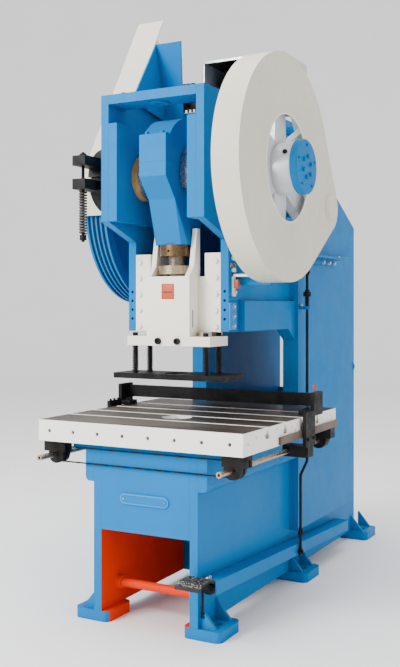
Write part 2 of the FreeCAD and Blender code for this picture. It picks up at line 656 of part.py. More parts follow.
keep("lock_collar", cut(
    rod("Z", ("0", "crank_y"), ("collar_low", "pitman_foot_z"), "collar_big"),
    rod("Z", ("0", "crank_y"), ("collar_low - 1", "pitman_foot_z + 1"), "screw_radius"),
    rod("Y", ("0", "(collar_low + collar_high) / 2"),
        ("crank_y - collar_big - 1", "crank_y - collar_big + tommy_deep"), "tommy"),
))
keep("screw_ring", cut(
    rod("Z", ("0", "crank_y"), ("ring_low", "ring_high"), "ring_radius"),
    rod("Z", ("0", "crank_y"), ("ring_low - 1", "ring_high + 1"), "screw_radius"),
))


# ---------------------------------------------------------------- gear train

def toothed(teeth, module, inner_radius, span, shift):
    """A spur ring whose flanks are chords of the involute, with its bore left plain."""
    pitch = teeth * module / 2
    tip, root = pitch + 0.8 * module, pitch - 1.1 * module
    base = pitch * math.cos(math.radians(20))
    backlash = 0.06
    half_at_pitch = math.pi / 2 / teeth * (1 - backlash)

    def half_tooth(radius):
        def involute(at):
            angle = math.acos(min(1.0, base / at))
            return math.tan(angle) - angle
        return half_at_pitch + involute(pitch) - involute(max(radius, base))

    points = []
    for tooth in range(teeth):
        middle = shift + 2 * math.pi * tooth / teeth
        flank = [(root, -half_tooth(root)), (tip, -half_tooth(tip)),
             (tip, half_tooth(tip)), (root, half_tooth(root))]
        points += [(radius * math.cos(middle + turn), radius * math.sin(middle + turn))
                   for radius, turn in flank]
    low, high = span
    corners = [FreeCAD.Vector(low, across, up) for across, up in points + points[:1]]
    face = Part.Face([Part.makePolygon(corners)])
    ring = face.extrude(FreeCAD.Vector(high - low, 0, 0))
    bore = Part.makeCylinder(inner_radius, high - low, FreeCAD.Vector(low, 0, 0), X_AXIS)
    return ring.cut(bore)


def gear_blank(name, teeth, inner_radius, span, shift, centre):
    ring = doc.addObject("Part::Feature", name)
    ring.Shape = toothed(teeth, number_of("gear_module"), inner_radius, span, shift)
    locate(ring, ("0", *centre))
    return ring


MESH_ANGLE = math.atan2(number_of("pinion_z") - number_of("crank_z"),
                        number_of("pinion_y") - number_of("crank_y"))
gear_span = (number_of("gear_in"), number_of("gear_in + gear_wide"))
pitch_radius = GEAR_TEETH * number_of("gear_module") / 2
rim_radius = pitch_radius - 1.1 * number_of("gear_module") - number_of("rim_thick")
gear_ring = gear_blank("gear_ring", GEAR_TEETH, rim_radius, gear_span, MESH_ANGLE, ("crank_y", "crank_z"))
RIM = f"(gear_module * {GEAR_TEETH} / 2 - 1.1 * gear_module - rim_thick)"


def spoke(turn):
    """One tapered arm from the hub to the rim, turned about the wheel's axis."""
    middle = "(gear_in + gear_wide / 2)"
    arm = doc.addObject("Part::Wedge", "arm")
    for prop, text in (
            ("Xmin", "-spoke_wide"), ("Xmax", "spoke_wide"), ("X2min", "-spoke_tip_wide"),
            ("X2max", "spoke_tip_wide"), ("Zmin", "0"), ("Zmax", "spoke_thick"),
            ("Z2min", "0"), ("Z2max", "spoke_thick"), ("Ymin", "0"), ("Ymax", f"{RIM} + 2")):
        bind(arm, prop, text)
    lean = FreeCAD.Rotation(X_AXIS, 360 * turn).multiply(FreeCAD.Rotation(FreeCAD.Vector(1, 1, 1), 120))
    arm.Placement = FreeCAD.Placement(FreeCAD.Vector(), lean)
    for letter, text in zip("xyz", (f"{middle} - spoke_thick / 2", "crank_y", "crank_z")):
        bind(arm, f"Placement.Base.{letter}", text)
    return arm


hub = rod("X", ("crank_y", "crank_z"), ("hub_in", "hub_out"), "hub_radius")
hub_bore = rod("X", ("crank_y", "crank_z"), ("hub_in - 1", "hub_out + 1"), "journal + run")
keep("gear_wheel", cut(fuse(gear_ring, hub, *[spoke(number / 6) for number in range(6)]), hub_bore))
disc_out = "(hub_out + 5 + disc_thick)"
disc = turned("X", ("crank_y", "crank_z"), "0", (
    ("0", "hub_out + 5"), ("hub_radius", "hub_out + 5"), ("hub_radius", "hub_out"),
    ("disc_radius", "hub_out"),
    ("disc_radius", f"{disc_out} - 4"), ("disc_radius - 4", disc_out), ("0", disc_out),
))
disc_bolts = []
for number in range(6):
    turn = 60 * number + 20
    spot = (f"crank_y + disc_bolt_ring * cos({turn})", f"crank_z + disc_bolt_ring * sin({turn})")
    disc_bolts.append(hexagon("X", spot, (disc_out, f"{disc_out} + 9"), "disc_bolt"))
keep("end_disc", group(disc, *disc_bolts))

axle = ("pinion_y", "pinion_z")
pinion_shift = MESH_ANGLE + math.pi + math.pi / PINION_TEETH
pinion_span = (gear_span[0] - 3, gear_span[1] + 3)
pinion_teeth = gear_blank("pinion_teeth", PINION_TEETH, number_of("back_journal - 5"), pinion_span,
                          pinion_shift, axle)
keep("back_shaft", fuse(
    rod("X", axle, ("-wheel_out - 12", "gear_in + gear_wide + 4"), "back_journal"), pinion_teeth))
cartridge = cut(
    fuse(
        rod("X", axle, (INNER, "frame_half"), "cartridge"),
        rod("X", axle, ("frame_half", "frame_half + cartridge_flange_wide"), "cartridge_flange"),
    ),
    rod("X", axle, (f"{INNER} - 1", "frame_half + 60"), "back_journal + run"),
)
keep("shaft_bearings", group(cartridge, mirror(cartridge)))


def flywheel():
    """The grooved wheel: a rim with vee grooves, a thin web and a hub, turned in one piece."""
    wide, rim = "wheel_wide", "(wheel_radius - wheel_rim)"
    profile = [("back_journal", "0"), ("wheel_hub", "0"), ("wheel_hub", f"{wide} / 2 - wheel_web / 2"),
               (rim, f"{wide} / 2 - wheel_web / 2"), (rim, "0"), ("wheel_radius", "0")]
    profile += groove_profile("wheel_radius")
    profile += [("wheel_radius", wide), (rim, wide), (rim, f"{wide} / 2 + wheel_web / 2"),
                ("wheel_hub", f"{wide} / 2 + wheel_web / 2"), ("wheel_hub", wide), ("back_journal", wide)]
    return turned("X", axle, "-wheel_out", profile)


def groove_profile(radius):
    """The corners of the row of vee grooves cut in a rim of the flywheel's width."""
    corners = []
    for number in range(BELTS):
        middle = f"(wheel_wide / 2 + ({number} - {(BELTS - 1) / 2}) * groove_pitch)"
        bottom = "(groove_wide / 2 - groove_deep * tan(groove_lean))"
        corners += [
            (radius, f"{middle} - groove_wide / 2"), (f"{radius} - groove_deep", f"{middle} - {bottom}"),
            (f"{radius} - groove_deep", f"{middle} + {bottom}"), (radius, f"{middle} + groove_wide / 2"),
        ]
    return corners


keep("flywheel", flywheel())


# ---------------------------------------------------------------- motor and belts

motor_axle = ("motor_y", "motor_z")
keep("motor_body", cut(
    fuse(
        rod("X", motor_axle, ("motor_left", "motor_right"), "motor_radius"),
        block(("motor_left + 60", "motor_right - 60"), ("motor_y - 100", "motor_y + 100"),
              ("mount_top + mount_thick", "motor_z")),
        rod("X", motor_axle, ("motor_left - 20", "motor_left"), "60"),
    ),
    rod("X", motor_axle, ("motor_left - 21", "motor_right - 60"), "motor_shaft + gap"),
))
rotor = rod("X", motor_axle, ("-wheel_out - 4", "motor_right - 60 - gap"), "motor_shaft")
pulley = turned("X", motor_axle, "-wheel_out", [("motor_shaft", "0"), ("pulley_radius", "0")]
                + groove_profile("pulley_radius")
                + [("pulley_radius", "wheel_wide"), ("motor_shaft", "wheel_wide")])
keep("motor_rotor", group(rotor, pulley))
belts = []
for number in range(BELTS):
    middle = f"(-wheel_out + wheel_wide / 2 + ({number} - {(BELTS - 1) / 2}) * groove_pitch)"
    span = (f"{middle} - belt_wide / 2", f"{middle} + belt_wide / 2")
    within = (f"{span[0]} - 1", f"{span[1]} + 1")
    belts.append(cut(*[
        wrapped("X", reach, (*axle, f"wheel_radius - {sink}"), (*motor_axle, f"pulley_radius - {sink}"))
        for reach, sink in ((span, "belt_sink"), (within, "(belt_sink + belt_deep)"))]))
keep("drive_belts", group(*belts))
slope_at = "head_top - ({place} - slope_front) * " + SLOPE
mount_cheek = prism("YZ", ("frame_half - cheek_thick", "frame_half"), (
    ("hood_front", slope_at.format(place="hood_front")), ("hood_front", "mount_top"),
    ("hood_rear", "mount_top"), ("hood_rear", slope_at.format(place="hood_rear")),
))
keep("motor_mount", fuse(
    mount_cheek, mirror(mount_cheek),
    block(("-frame_half", "frame_half"), ("hood_front", "hood_rear"),
          ("mount_top", "mount_top + mount_thick")),
))
hood_low = "(mount_top + mount_thick)"
keep("motor_hood", cut(
    block(("hood_left", "hood_right"), ("hood_front", "hood_rear"), (hood_low, "hood_top")),
    block(("hood_left + sheet", "hood_right - sheet"), ("hood_front - 1", "hood_rear - sheet"),
          (f"{hood_low} - 1", "hood_top - sheet")),
    rod("X", motor_axle, ("hood_left - 1", "hood_left + sheet + 1"), "motor_shaft + 12"),
))


# ---------------------------------------------------------------- guards

crank_axis = ("crank_y", "crank_z")
guard_shell = wrapped("X", ("guard_in", "guard_out"), (*crank_axis, "guard_radius"), (*axle, "guard_lobe"))
guard_room = wrapped("X", ("guard_in - 1", "guard_out - sheet"), (*crank_axis, "guard_radius - sheet"),
                     (*axle, "guard_lobe - sheet"))
window = rod("X", crank_axis, ("guard_out - 2 * sheet", "guard_out + 1"), "guard_window")
boss = turned("X", axle, "guard_out", (
    ("0", "0"), ("boss_radius", "0"), ("boss_radius - 5", "boss_high - 6"), ("boss_radius - 16", "boss_high"),
    ("0", "boss_high"),
))
keep("gear_guard", fuse(cut(guard_shell, guard_room, window), boss))

def rim_arm(turn):
    """A square arm from the frame to the guard's inboard edge, at an angle round the crank axis."""
    along = f"(crank_y + guard_radius * cos({turn}))"
    up = f"(crank_z + guard_radius * sin({turn}))"
    return block(("frame_half", "guard_in"), (f"{along} - arm_half", f"{along} + arm_half"),
                 (f"{up} - arm_half", f"{up} + arm_half"))


keep("guard_brackets", group(
    rim_arm(-78), rim_arm(-57), rim_arm(30),
    fuse(
        block((DOUBLER_OUT, f"{DOUBLER_OUT} + bar_reach"), ("bar_front", "bar_rear"),
              ("bar_z", "bar_z + bar_sheet")),
        block((DOUBLER_OUT, f"{DOUBLER_OUT} + bar_sheet"), ("bar_front", "bar_rear"),
              ("bar_z - bar_drop", "bar_z")),
    ),
))
RUN = "hypot(strip_end_z - pinion_z; strip_end_y - pinion_y)"
LIFT = f"(atan2(strip_end_z - pinion_z; strip_end_y - pinion_y) + acos(belt_guard_radius / {RUN}))"


def off_axle(radius):
    """A point at a distance from the back shaft, square to the guard's straight run."""
    return (f"pinion_y + ({radius}) * cos({LIFT})", f"pinion_z + ({radius}) * sin({LIFT})")


def belt_guard():
    """A sheet shield: an arc round the flywheel, a straight run up and a flat outer cheek."""
    span = ("-belt_guard_out", "-belt_guard_in")
    ring = cut(rod("X", axle, span, "belt_guard_radius + sheet"),
               rod("X", axle, ("-belt_guard_out - 1", "1 - belt_guard_in"), "belt_guard_radius"))
    far = "pinion_y - 2 * belt_guard_radius"
    high = off_axle("1.5 * belt_guard_radius")
    sector = prism("YZ", span, (
        ("pinion_y", "strip_start_z"), axle, high, (far, high[1]), (far, "strip_start_z")))
    outer, inner = off_axle("belt_guard_radius + sheet"), off_axle("belt_guard_radius")
    end = ("strip_end_y", "strip_end_z")
    skin = (f"strip_end_y + sheet * cos({LIFT})", f"strip_end_z + sheet * sin({LIFT})")
    run = prism("YZ", span, (inner, end, skin, outer))
    cheek = prism("YZ", ("-belt_guard_out", "sheet - belt_guard_out"), (
        inner, end, ("strip_end_y + 130", "strip_end_z"), ("motor_y + 90", "motor_z + 120"),
        ("motor_y + 90", "motor_z - 90"), ("pinion_y + belt_guard_radius", "pinion_z"),
        ("pinion_y + belt_guard_radius", "strip_start_z"), ("pinion_y - belt_guard_radius", "strip_start_z"),
        ("pinion_y - belt_guard_radius", "pinion_z"),
    ))
    spots = (("hood_front + 5", "mount_top"), ("slope_front - 120", "head_top - plate + 7"))
    stays = [block(("-belt_guard_out", "-frame_half"), (place, f"{place} + stay_wide"),
                   (up, f"{up} + stay_thick")) for place, up in spots]
    return fuse(common(ring, sector), run, cheek, *stays)


keep("belt_guard", belt_guard())


# ---------------------------------------------------------------- tower bracket

def tower():
    """A leaning plate behind the head beam with a three-cornered ear down one side."""
    ear = prism("YZ", ("tower_x - tower_sheet", "tower_x"), (
        ("tower_ear_y", "head_top"), ("tower_top_y", "tower_top_z"),
        ("tower_top_y + tower_sheet", "tower_top_z"), ("tower_foot_y + tower_sheet", "tower_foot_z"),
        ("tower_foot_y - 12", "head_top - beam_deep"),
        ("tower_ear_y + 60", "head_top"),
    ))
    leaning = prism("YZ", ("tower_x", "tower_x + tower_wide"), (
        ("tower_top_y", "tower_top_z"), ("tower_top_y + tower_sheet", "tower_top_z"),
        ("tower_foot_y + tower_sheet", "tower_foot_z"), ("tower_foot_y", "tower_foot_z"),
    ))
    outline = prism("XZ", ("tower_ear_y", "deck_front"), (
        ("tower_x", "tower_foot_z"), ("tower_x", "tower_top_z"), ("tower_x + tower_wide", "tower_top_z"),
        ("tower_x + tower_wide_low", "tower_foot_z"),
    ))
    foot_bar = block(("tower_x", "tower_x + tower_wide_low"), ("tower_foot_y - tower_sheet", "deck_front"),
                     ("head_top - plate", "head_top"))
    return fuse(ear, common(leaning, outline), foot_bar)


keep("tower_bracket", tower())


# ---------------------------------------------------------------- brake

brake_x = "-(brake_in + brake_out) / 2"
brake_span = ("-brake_out", "-brake_in")
keep("brake_drum", cut(
    rod("X", crank_axis, brake_span, "drum_radius"),
    rod("X", crank_axis, ("-brake_out - 1", "1 - brake_in"), "journal")))


def brake_shoe(side, low, high):
    """A half ring over the drum with an arm that reaches forward to the stud."""
    ring = cut(rod("X", crank_axis, brake_span, "drum_radius + gap + shoe_thick"),
               rod("X", crank_axis, ("-brake_out - 1", "1 - brake_in"), "drum_radius + gap"))
    reach = "(drum_radius + shoe_thick)"
    near, far = "crank_z + 3", f"crank_z + {reach} + 1"
    if side < 0:
        near, far = f"crank_z - {reach} - 1", "crank_z - 3"
    half = common(ring, block(brake_span, (f"crank_y - {reach} - 1", f"crank_y + {reach} + 1"), (near, far)))
    arm = block((f"{brake_x} - brake_arm_wide / 2", f"{brake_x} + brake_arm_wide / 2"),
                ("brake_stud_y - brake_arm_wide / 2", f"crank_y - {reach} + 20"), (low, high))
    heel = block((f"{brake_x} - brake_arm_wide / 2", f"{brake_x} + brake_arm_wide / 2"),
                 (f"crank_y + {reach} - 8", f"crank_y + {reach} + 40"),
                 ("crank_z + 3", "crank_z + 45") if side > 0 else ("crank_z - 45", "crank_z - 3"))
    hole = rod("Z", (brake_x, "brake_stud_y"), (f"{low} - 1", f"{high} + 1"), "brake_stud_radius + gap")
    pin_hole = rod("X", (f"crank_y + {reach} + 22", "crank_z"), ("-brake_out", "-brake_in"), "11")
    return cut(fuse(half, arm, heel), hole, pin_hole)


keep("brake_shoes", group(
    brake_shoe(1, "upper_arm_low", "upper_arm_high"),
    brake_shoe(-1, "lower_arm_low", "lower_arm_high"),
))
keep("brake_anchor", fuse(
    rod("X", ("crank_y + drum_radius + shoe_thick + 22", "crank_z"), ("-brake_out", "-frame_half"), "10"),
    prism("YZ", ("gap - brake_in", "-frame_half"), (
        ("brake_stud_y + brake_arm_wide / 2", "lower_arm_low - gap"),
        ("brake_stud_y + 110", "lower_arm_low - 100"), ("brake_stud_y + 160", "lower_arm_low - 100"),
        ("brake_stud_y + 160", "lower_arm_low - gap"),
    )),
))
nuts = [("upper_arm_high", "upper_arm_high + 11"), ("brake_coil_low - 12", "brake_coil_low"),
        ("brake_coil_low - 24", "brake_coil_low - 13")]
keep("brake_stud", fuse(
    rod("Z", (brake_x, "brake_stud_y"), ("brake_coil_low - 32", "upper_arm_high + 18"), "brake_stud_radius"),
    *[hexagon("Z", (brake_x, "brake_stud_y"), span, "brake_nut") for span in nuts],
    rod("Z", (brake_x, "brake_stud_y"), ("brake_coil_low - 13", "brake_coil_low - 12"),
        "brake_stud_radius + 2"),
))
keep("brake_spring", coil((brake_x, "brake_stud_y"), ("brake_coil_low", "lower_arm_low"),
                          "brake_coil_mean", "brake_coil_wire", "brake_coil_pitch"))


# ---------------------------------------------------------------- back gauge

half_thick = "gauge_thick / 2"
gauge_span = (f"gauge_y - {half_thick}", f"gauge_y + {half_thick}")
keep("gauge_bar", fuse(
    block(("-gauge_half", "gauge_half"), gauge_span, ("gauge_low", "gauge_high")),
    block(("gauge_half - 14", "gauge_half"), (f"gauge_y - {half_thick} - 6", f"gauge_y - {half_thick}"),
          ("gauge_low", "end_high")),
))
lead_axis = ("lead_x", "lead_z")
slack = rod("Y", lead_axis, ("carriage_front - 1", "carriage_rear + 1"), "lead_radius + run")
middle = "(carriage_front + carriage_rear) / 2"
carriage = cut(
    fuse(
        block(("carriage_in", "carriage_in + carriage_thick"), ("carriage_front", "carriage_rear"),
              ("nut_high - 4", "carriage_high")),
        block(("lead_x - 28", "carriage_in + carriage_thick"), (f"{middle} - 35", f"{middle} + 35"),
              ("nut_low", "nut_high")),
        block(("gauge_half", "carriage_in + carriage_thick"),
              ("carriage_rear - 12", f"gauge_y + {half_thick} + 12"),
              (f"{TABLE_TOP} + gap", "gauge_high + 10")),
    ),
    slack,
)
keep("gauge_carriages", group(carriage, mirror(carriage)))
lead = cut(
    fuse(
        rod("Y", lead_axis, ("lead_front", "lead_rear"), "lead_radius"),
        rod("Y", lead_axis, ("chain_y - sprocket_wide / 2", "chain_y + sprocket_wide / 2"), "sprocket"),
    ),
    rod("Y", lead_axis, ("lead_front - 1", "lead_front + 30"), "lead_radius / 2"),
)
both_sides("lead_screw", lead)


def chain_solid(reach, over):
    """The space inside a band round both sprockets, reaching past their rims by a given amount."""
    half = f"(sprocket_wide / 3 + {over})"
    rings = [(place, "lead_z", f"sprocket + gap + {reach}") for place in ("-lead_x", "lead_x")]
    return wrapped("Y", (f"chain_y - {half}", f"chain_y + {half}"), *rings)


keep("sync_chain", cut(chain_solid("chain_thick", "0"), chain_solid("0", "1")))


def lead_bearing(front, rear):
    """A block under the table that carries a lead screw."""
    return cut(
        fuse(
            block(("lead_x - bearing_wide / 2 + 8", "lead_x + bearing_wide / 2 + 8"), (front, rear),
                  ("lead_z + 12", BED_TOP)),
            rod("Y", lead_axis, (front, rear), "bearing_round"),
        ),
        rod("Y", lead_axis, (f"{front} - 1", f"{rear} + 1"), "lead_radius + run"),
    )


fork = cut(
    lead_bearing("chain_y - fork_room - fork_cheek", "chain_y + fork_room + fork_cheek"),
    block(("-lead_x", "2 * lead_x"), ("chain_y - fork_room", "chain_y + fork_room"),
          ("0", "lead_z + sprocket + 3 * chain_thick")),
)
pair = group(fork, lead_bearing("table_rear - bearing_long - 8", "table_rear - 8"))
keep("lead_bearings", group(pair, mirror(pair)))
side_bar = block(("table_half", "table_half + bar_thick"), ("carriage_front - 244", "table_rear"),
                 ("bar_low", "bar_high"))
keep("guide_bars", group(side_bar, mirror(side_bar)))


# ---------------------------------------------------------------- treadle and clutch trip

def ledge_z(place):
    """Height of the sloping channel's top at a place along the frame."""
    return f"(ledge_front_z - (({place}) - ledge_front) * {LEDGE_FALL})"


top = (("ledge_front", "ledge_front_z"), ("ledge_rear", "ledge_rear_z"))
pin_y = "rod_low_y"
pin_z = f"({ledge_z(pin_y)} - ledge_thick - lever_drop - lever_high / 2)"
keep("treadle_channel", cut(
    fuse(
        prism("YZ", ("frame_half", "ledge_out"), (
            *top, ("ledge_rear", "ledge_rear_z - ledge_thick"),
            ("ledge_front", "ledge_front_z - ledge_thick"))),
        prism("YZ", ("ledge_out - ledge_thick", "ledge_out"), (
            *top, ("ledge_rear", "ledge_rear_z - ledge_lip"), ("ledge_front", "ledge_front_z - ledge_lip"))),
    ),
    block(("ledge_out - ledge_thick - 1", "ledge_out + 1"), (f"{pin_y} - 18", f"{pin_y} + 18"),
          (f"{pin_z} - 80", f"{pin_z} + 12")),
))
lever_front_z = f"({ledge_z('ledge_front')} - ledge_thick - lever_drop)"
lever = prism("YZ", ("lever_in", "lever_out"), (
    ("pivot_y + 25", "pivot_z - lever_high / 2"), ("pivot_y + 25", "pivot_z + lever_high / 2"),
    ("ledge_front", lever_front_z), ("pedal_rear + 6", "pedal_top - 34"),
    ("pedal_rear - 14", "pedal_top - 27"),
    ("pedal_rear - 34", "pedal_top - 8"), ("pedal_front + 40", "pedal_top - 8"),
    ("pedal_front + 40", "pedal_top - 22"), ("pedal_rear - 34", "pedal_top - 22"),
    ("pedal_rear - 20", "pedal_top - 46"), ("ledge_front", f"{lever_front_z} - lever_high"),
))
keep("treadle_lever", cut(
    fuse(lever, rod("X", (pin_y, pin_z), ("lever_out - 10", "rod_x + 14"), "8")),
    rod("X", ("pivot_y", "pivot_z"), ("lever_in - 1", "lever_out + 1"), "pivot_radius + run"),
))
treadle_pivot = fuse(
    block(("frame_half", "lever_in - gap"), ("pivot_y - 30", "pivot_y + 30"),
          ("pivot_z - 30", "pivot_z + 30")),
    rod("X", ("pivot_y", "pivot_z"), ("frame_half", "lever_out + 8"), "pivot_radius"),
    rod("X", ("pivot_y", "pivot_z"), ("lever_out + gap", "lever_out + 8"), "pivot_radius + 5"),
)
keep("pedal_pad", prism("YZ", ("pedal_in", "pedal_out"), (
    ("pedal_front", "pedal_top - 26"), ("pedal_front + 6", "pedal_top - 12"),
    ("pedal_front + 32", "pedal_top"),
    ("pedal_rear - 32", "pedal_top"), ("pedal_rear - 6", "pedal_top - 12"), ("pedal_rear", "pedal_top - 26"),
    ("pedal_rear - 7", "pedal_top - 26"), ("pedal_rear - 12", "pedal_top - 17"),
    ("pedal_rear - 34", "pedal_top - 8"), ("pedal_front + 34", "pedal_top - 8"),
    ("pedal_front + 12", "pedal_top - 17"), ("pedal_front + 7", "pedal_top - 26"),
)))
eye_z = "rod_top - 10"


def trip_rod():
    """A round rod with one joggle, an eye at each end and a collar for its return spring."""
    path = doc.addObject("Sketcher::SketchObject", "path")
    spots = (("rod_y", "rod_top - 16"), ("rod_y", "rod_bend_high"), ("rod_low_y", "rod_bend_low"),
             ("rod_low_y", f"{pin_z} + 14"))
    for number, (start, end) in enumerate(zip(spots, spots[1:])):
        high, low = FreeCAD.Vector(number, -number, 0), FreeCAD.Vector(number + 1, -number - 1, 0)
        path.addGeometry(Part.LineSegment(high, low))
        if number:
            path.addConstraint(Sketcher.Constraint("Coincident", number - 1, 2, number, 1))
    ends = [(0, 1), (0, 2), (1, 2), (2, 2)]
    for (line, which), spot in zip(ends, spots):
        for kind, text in zip(("DistanceX", "DistanceY"), spot):
            index = path.addConstraint(Sketcher.Constraint(kind, -1, 1, line, which, 1.0))
            bind(path, f"Constraints[{index}]", text)
    path.Placement = FreeCAD.Placement(FreeCAD.Vector(), FreeCAD.Rotation(FreeCAD.Vector(1, 1, 1), 120))
    bind(path, "Placement.Base.x", "rod_x")
    section = doc.addObject("Part::Circle", "section")
    bind(section, "Radius", "rod_radius")
    locate(section, ("rod_x", "rod_y", "rod_top - 16"))
    sweep = doc.addObject("Part::Sweep", "rod_sweep")
    sweep.Sections = [section]
    sweep.Spine = (path, [])
    sweep.Solid = True
    sweep.Transition = "Round corner"
    width = ("rod_x - rod_radius + 1", "rod_x + rod_radius - 1")
    places = (("rod_y", eye_z), (pin_y, pin_z))
    eyes = [rod("X", spot, width, "eye_out") for spot in places]
    bores = [rod("X", spot, ("rod_x - 20", "rod_x + 20"), "eye_bore") for spot in places]
    collar = rod("Z", ("rod_x", "rod_y"), ("stop_z - stop_high / 2", "stop_z + stop_high / 2"), "stop_radius")
    return cut(fuse(sweep, *eyes, collar), *bores)


keep("trip_rod", trip_rod())
keep("rod_guide", cut(
    fuse(
        block((DOUBLER_OUT, "rod_x"), ("rod_y - 12", "rod_y + 12"), ("eye_z", "eye_z + eye_high")),
        rod("Z", ("rod_x", "rod_y"), ("eye_z", "eye_z + eye_high"), "eye_radius"),
    ),
    rod("Z", ("rod_x", "rod_y"), ("eye_z - 1", "eye_z + eye_high + 1"), "rod_radius + run"),
))
keep("rod_spring", coil(("rod_x", "rod_y"), ("eye_z + eye_high", "stop_z - stop_high / 2"), "11", "2", "9"))
keep("trip_lever", cut(
    fuse(
        prism("YZ", (f"{DOUBLER_OUT} + 6", f"{DOUBLER_OUT} + 22"), (
            ("rod_y + 16", f"{eye_z} - trip_wide / 2"), ("rod_y + 16", f"{eye_z} + trip_wide / 2"),
            ("trip_y", f"{eye_z} + trip_wide"), ("trip_y - 110", f"{eye_z} + trip_wide"),
            ("trip_y - 110", f"{eye_z} + 6"), ("trip_y", f"{eye_z} - trip_wide / 2"),
        )),
        rod("X", ("rod_y", eye_z), (f"{DOUBLER_OUT} + 6", "rod_x + 14"), "8"),
    ),
    rod("X", ("trip_y", eye_z), (DOUBLER_OUT, f"{DOUBLER_OUT} + 40"), "9 + run"),
))
keep("pivot_pins", group(treadle_pivot, fuse(
    rod("X", ("trip_y", eye_z), ("frame_half", f"{DOUBLER_OUT} + 32"), "9"),
    rod("X", ("trip_y", eye_z), ("frame_half", f"{DOUBLER_OUT} + 6 - gap"), "16"),
    rod("X", ("trip_y", eye_z), (f"{DOUBLER_OUT} + 22 + gap", f"{DOUBLER_OUT} + 32"), "14"),
)))

doc.recompute()
faults = [thing.Name for thing in doc.Objects if {"Invalid", "Error"} & set(thing.State)]
faults += [name for name, thing in nodes.items() if thing.Shape.isNull() or not thing.Shape.isValid()]
if faults:
    raise RuntimeError(f"not built: {', '.join(faults)}")
os.makedirs("parts", exist_ok=True)
for name, thing in nodes.items():
    thing.Shape.exportStep(f"parts/{name}.step")
print(len(nodes), "sub-parts")
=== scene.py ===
import json
import math

import bmesh
import bpy
from mathutils import Matrix, Vector


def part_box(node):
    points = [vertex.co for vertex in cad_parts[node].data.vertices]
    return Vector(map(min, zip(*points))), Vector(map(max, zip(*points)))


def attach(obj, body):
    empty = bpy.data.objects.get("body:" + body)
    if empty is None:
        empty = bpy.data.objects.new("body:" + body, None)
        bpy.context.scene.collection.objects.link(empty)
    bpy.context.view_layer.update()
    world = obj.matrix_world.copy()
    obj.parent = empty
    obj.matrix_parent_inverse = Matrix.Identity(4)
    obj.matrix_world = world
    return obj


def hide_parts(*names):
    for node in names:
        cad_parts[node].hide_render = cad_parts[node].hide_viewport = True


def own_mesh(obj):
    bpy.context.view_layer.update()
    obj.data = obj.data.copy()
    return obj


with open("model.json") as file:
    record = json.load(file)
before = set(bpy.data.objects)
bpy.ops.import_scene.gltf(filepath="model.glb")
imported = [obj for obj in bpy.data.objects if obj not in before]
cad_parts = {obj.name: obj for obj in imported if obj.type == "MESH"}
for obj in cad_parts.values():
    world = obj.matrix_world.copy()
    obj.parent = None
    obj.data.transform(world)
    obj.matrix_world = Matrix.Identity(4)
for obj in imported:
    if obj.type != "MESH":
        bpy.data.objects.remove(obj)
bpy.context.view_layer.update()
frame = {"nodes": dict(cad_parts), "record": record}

SLOT_OF = {part["node"]: part["material_slot"] for part in frame["record"]["subparts"]}
TURN_TO = {
    "X": Matrix.Rotation(math.radians(90), 4, "Y"),
    "-X": Matrix.Rotation(math.radians(-90), 4, "Y"),
    "Y": Matrix.Rotation(math.radians(-90), 4, "X"),
    "-Y": Matrix.Rotation(math.radians(90), 4, "X"),
    "Z": Matrix.Identity(4),
    "-Z": Matrix.Rotation(math.radians(180), 4, "X"),
}


# ---------------------------------------------------------------- materials

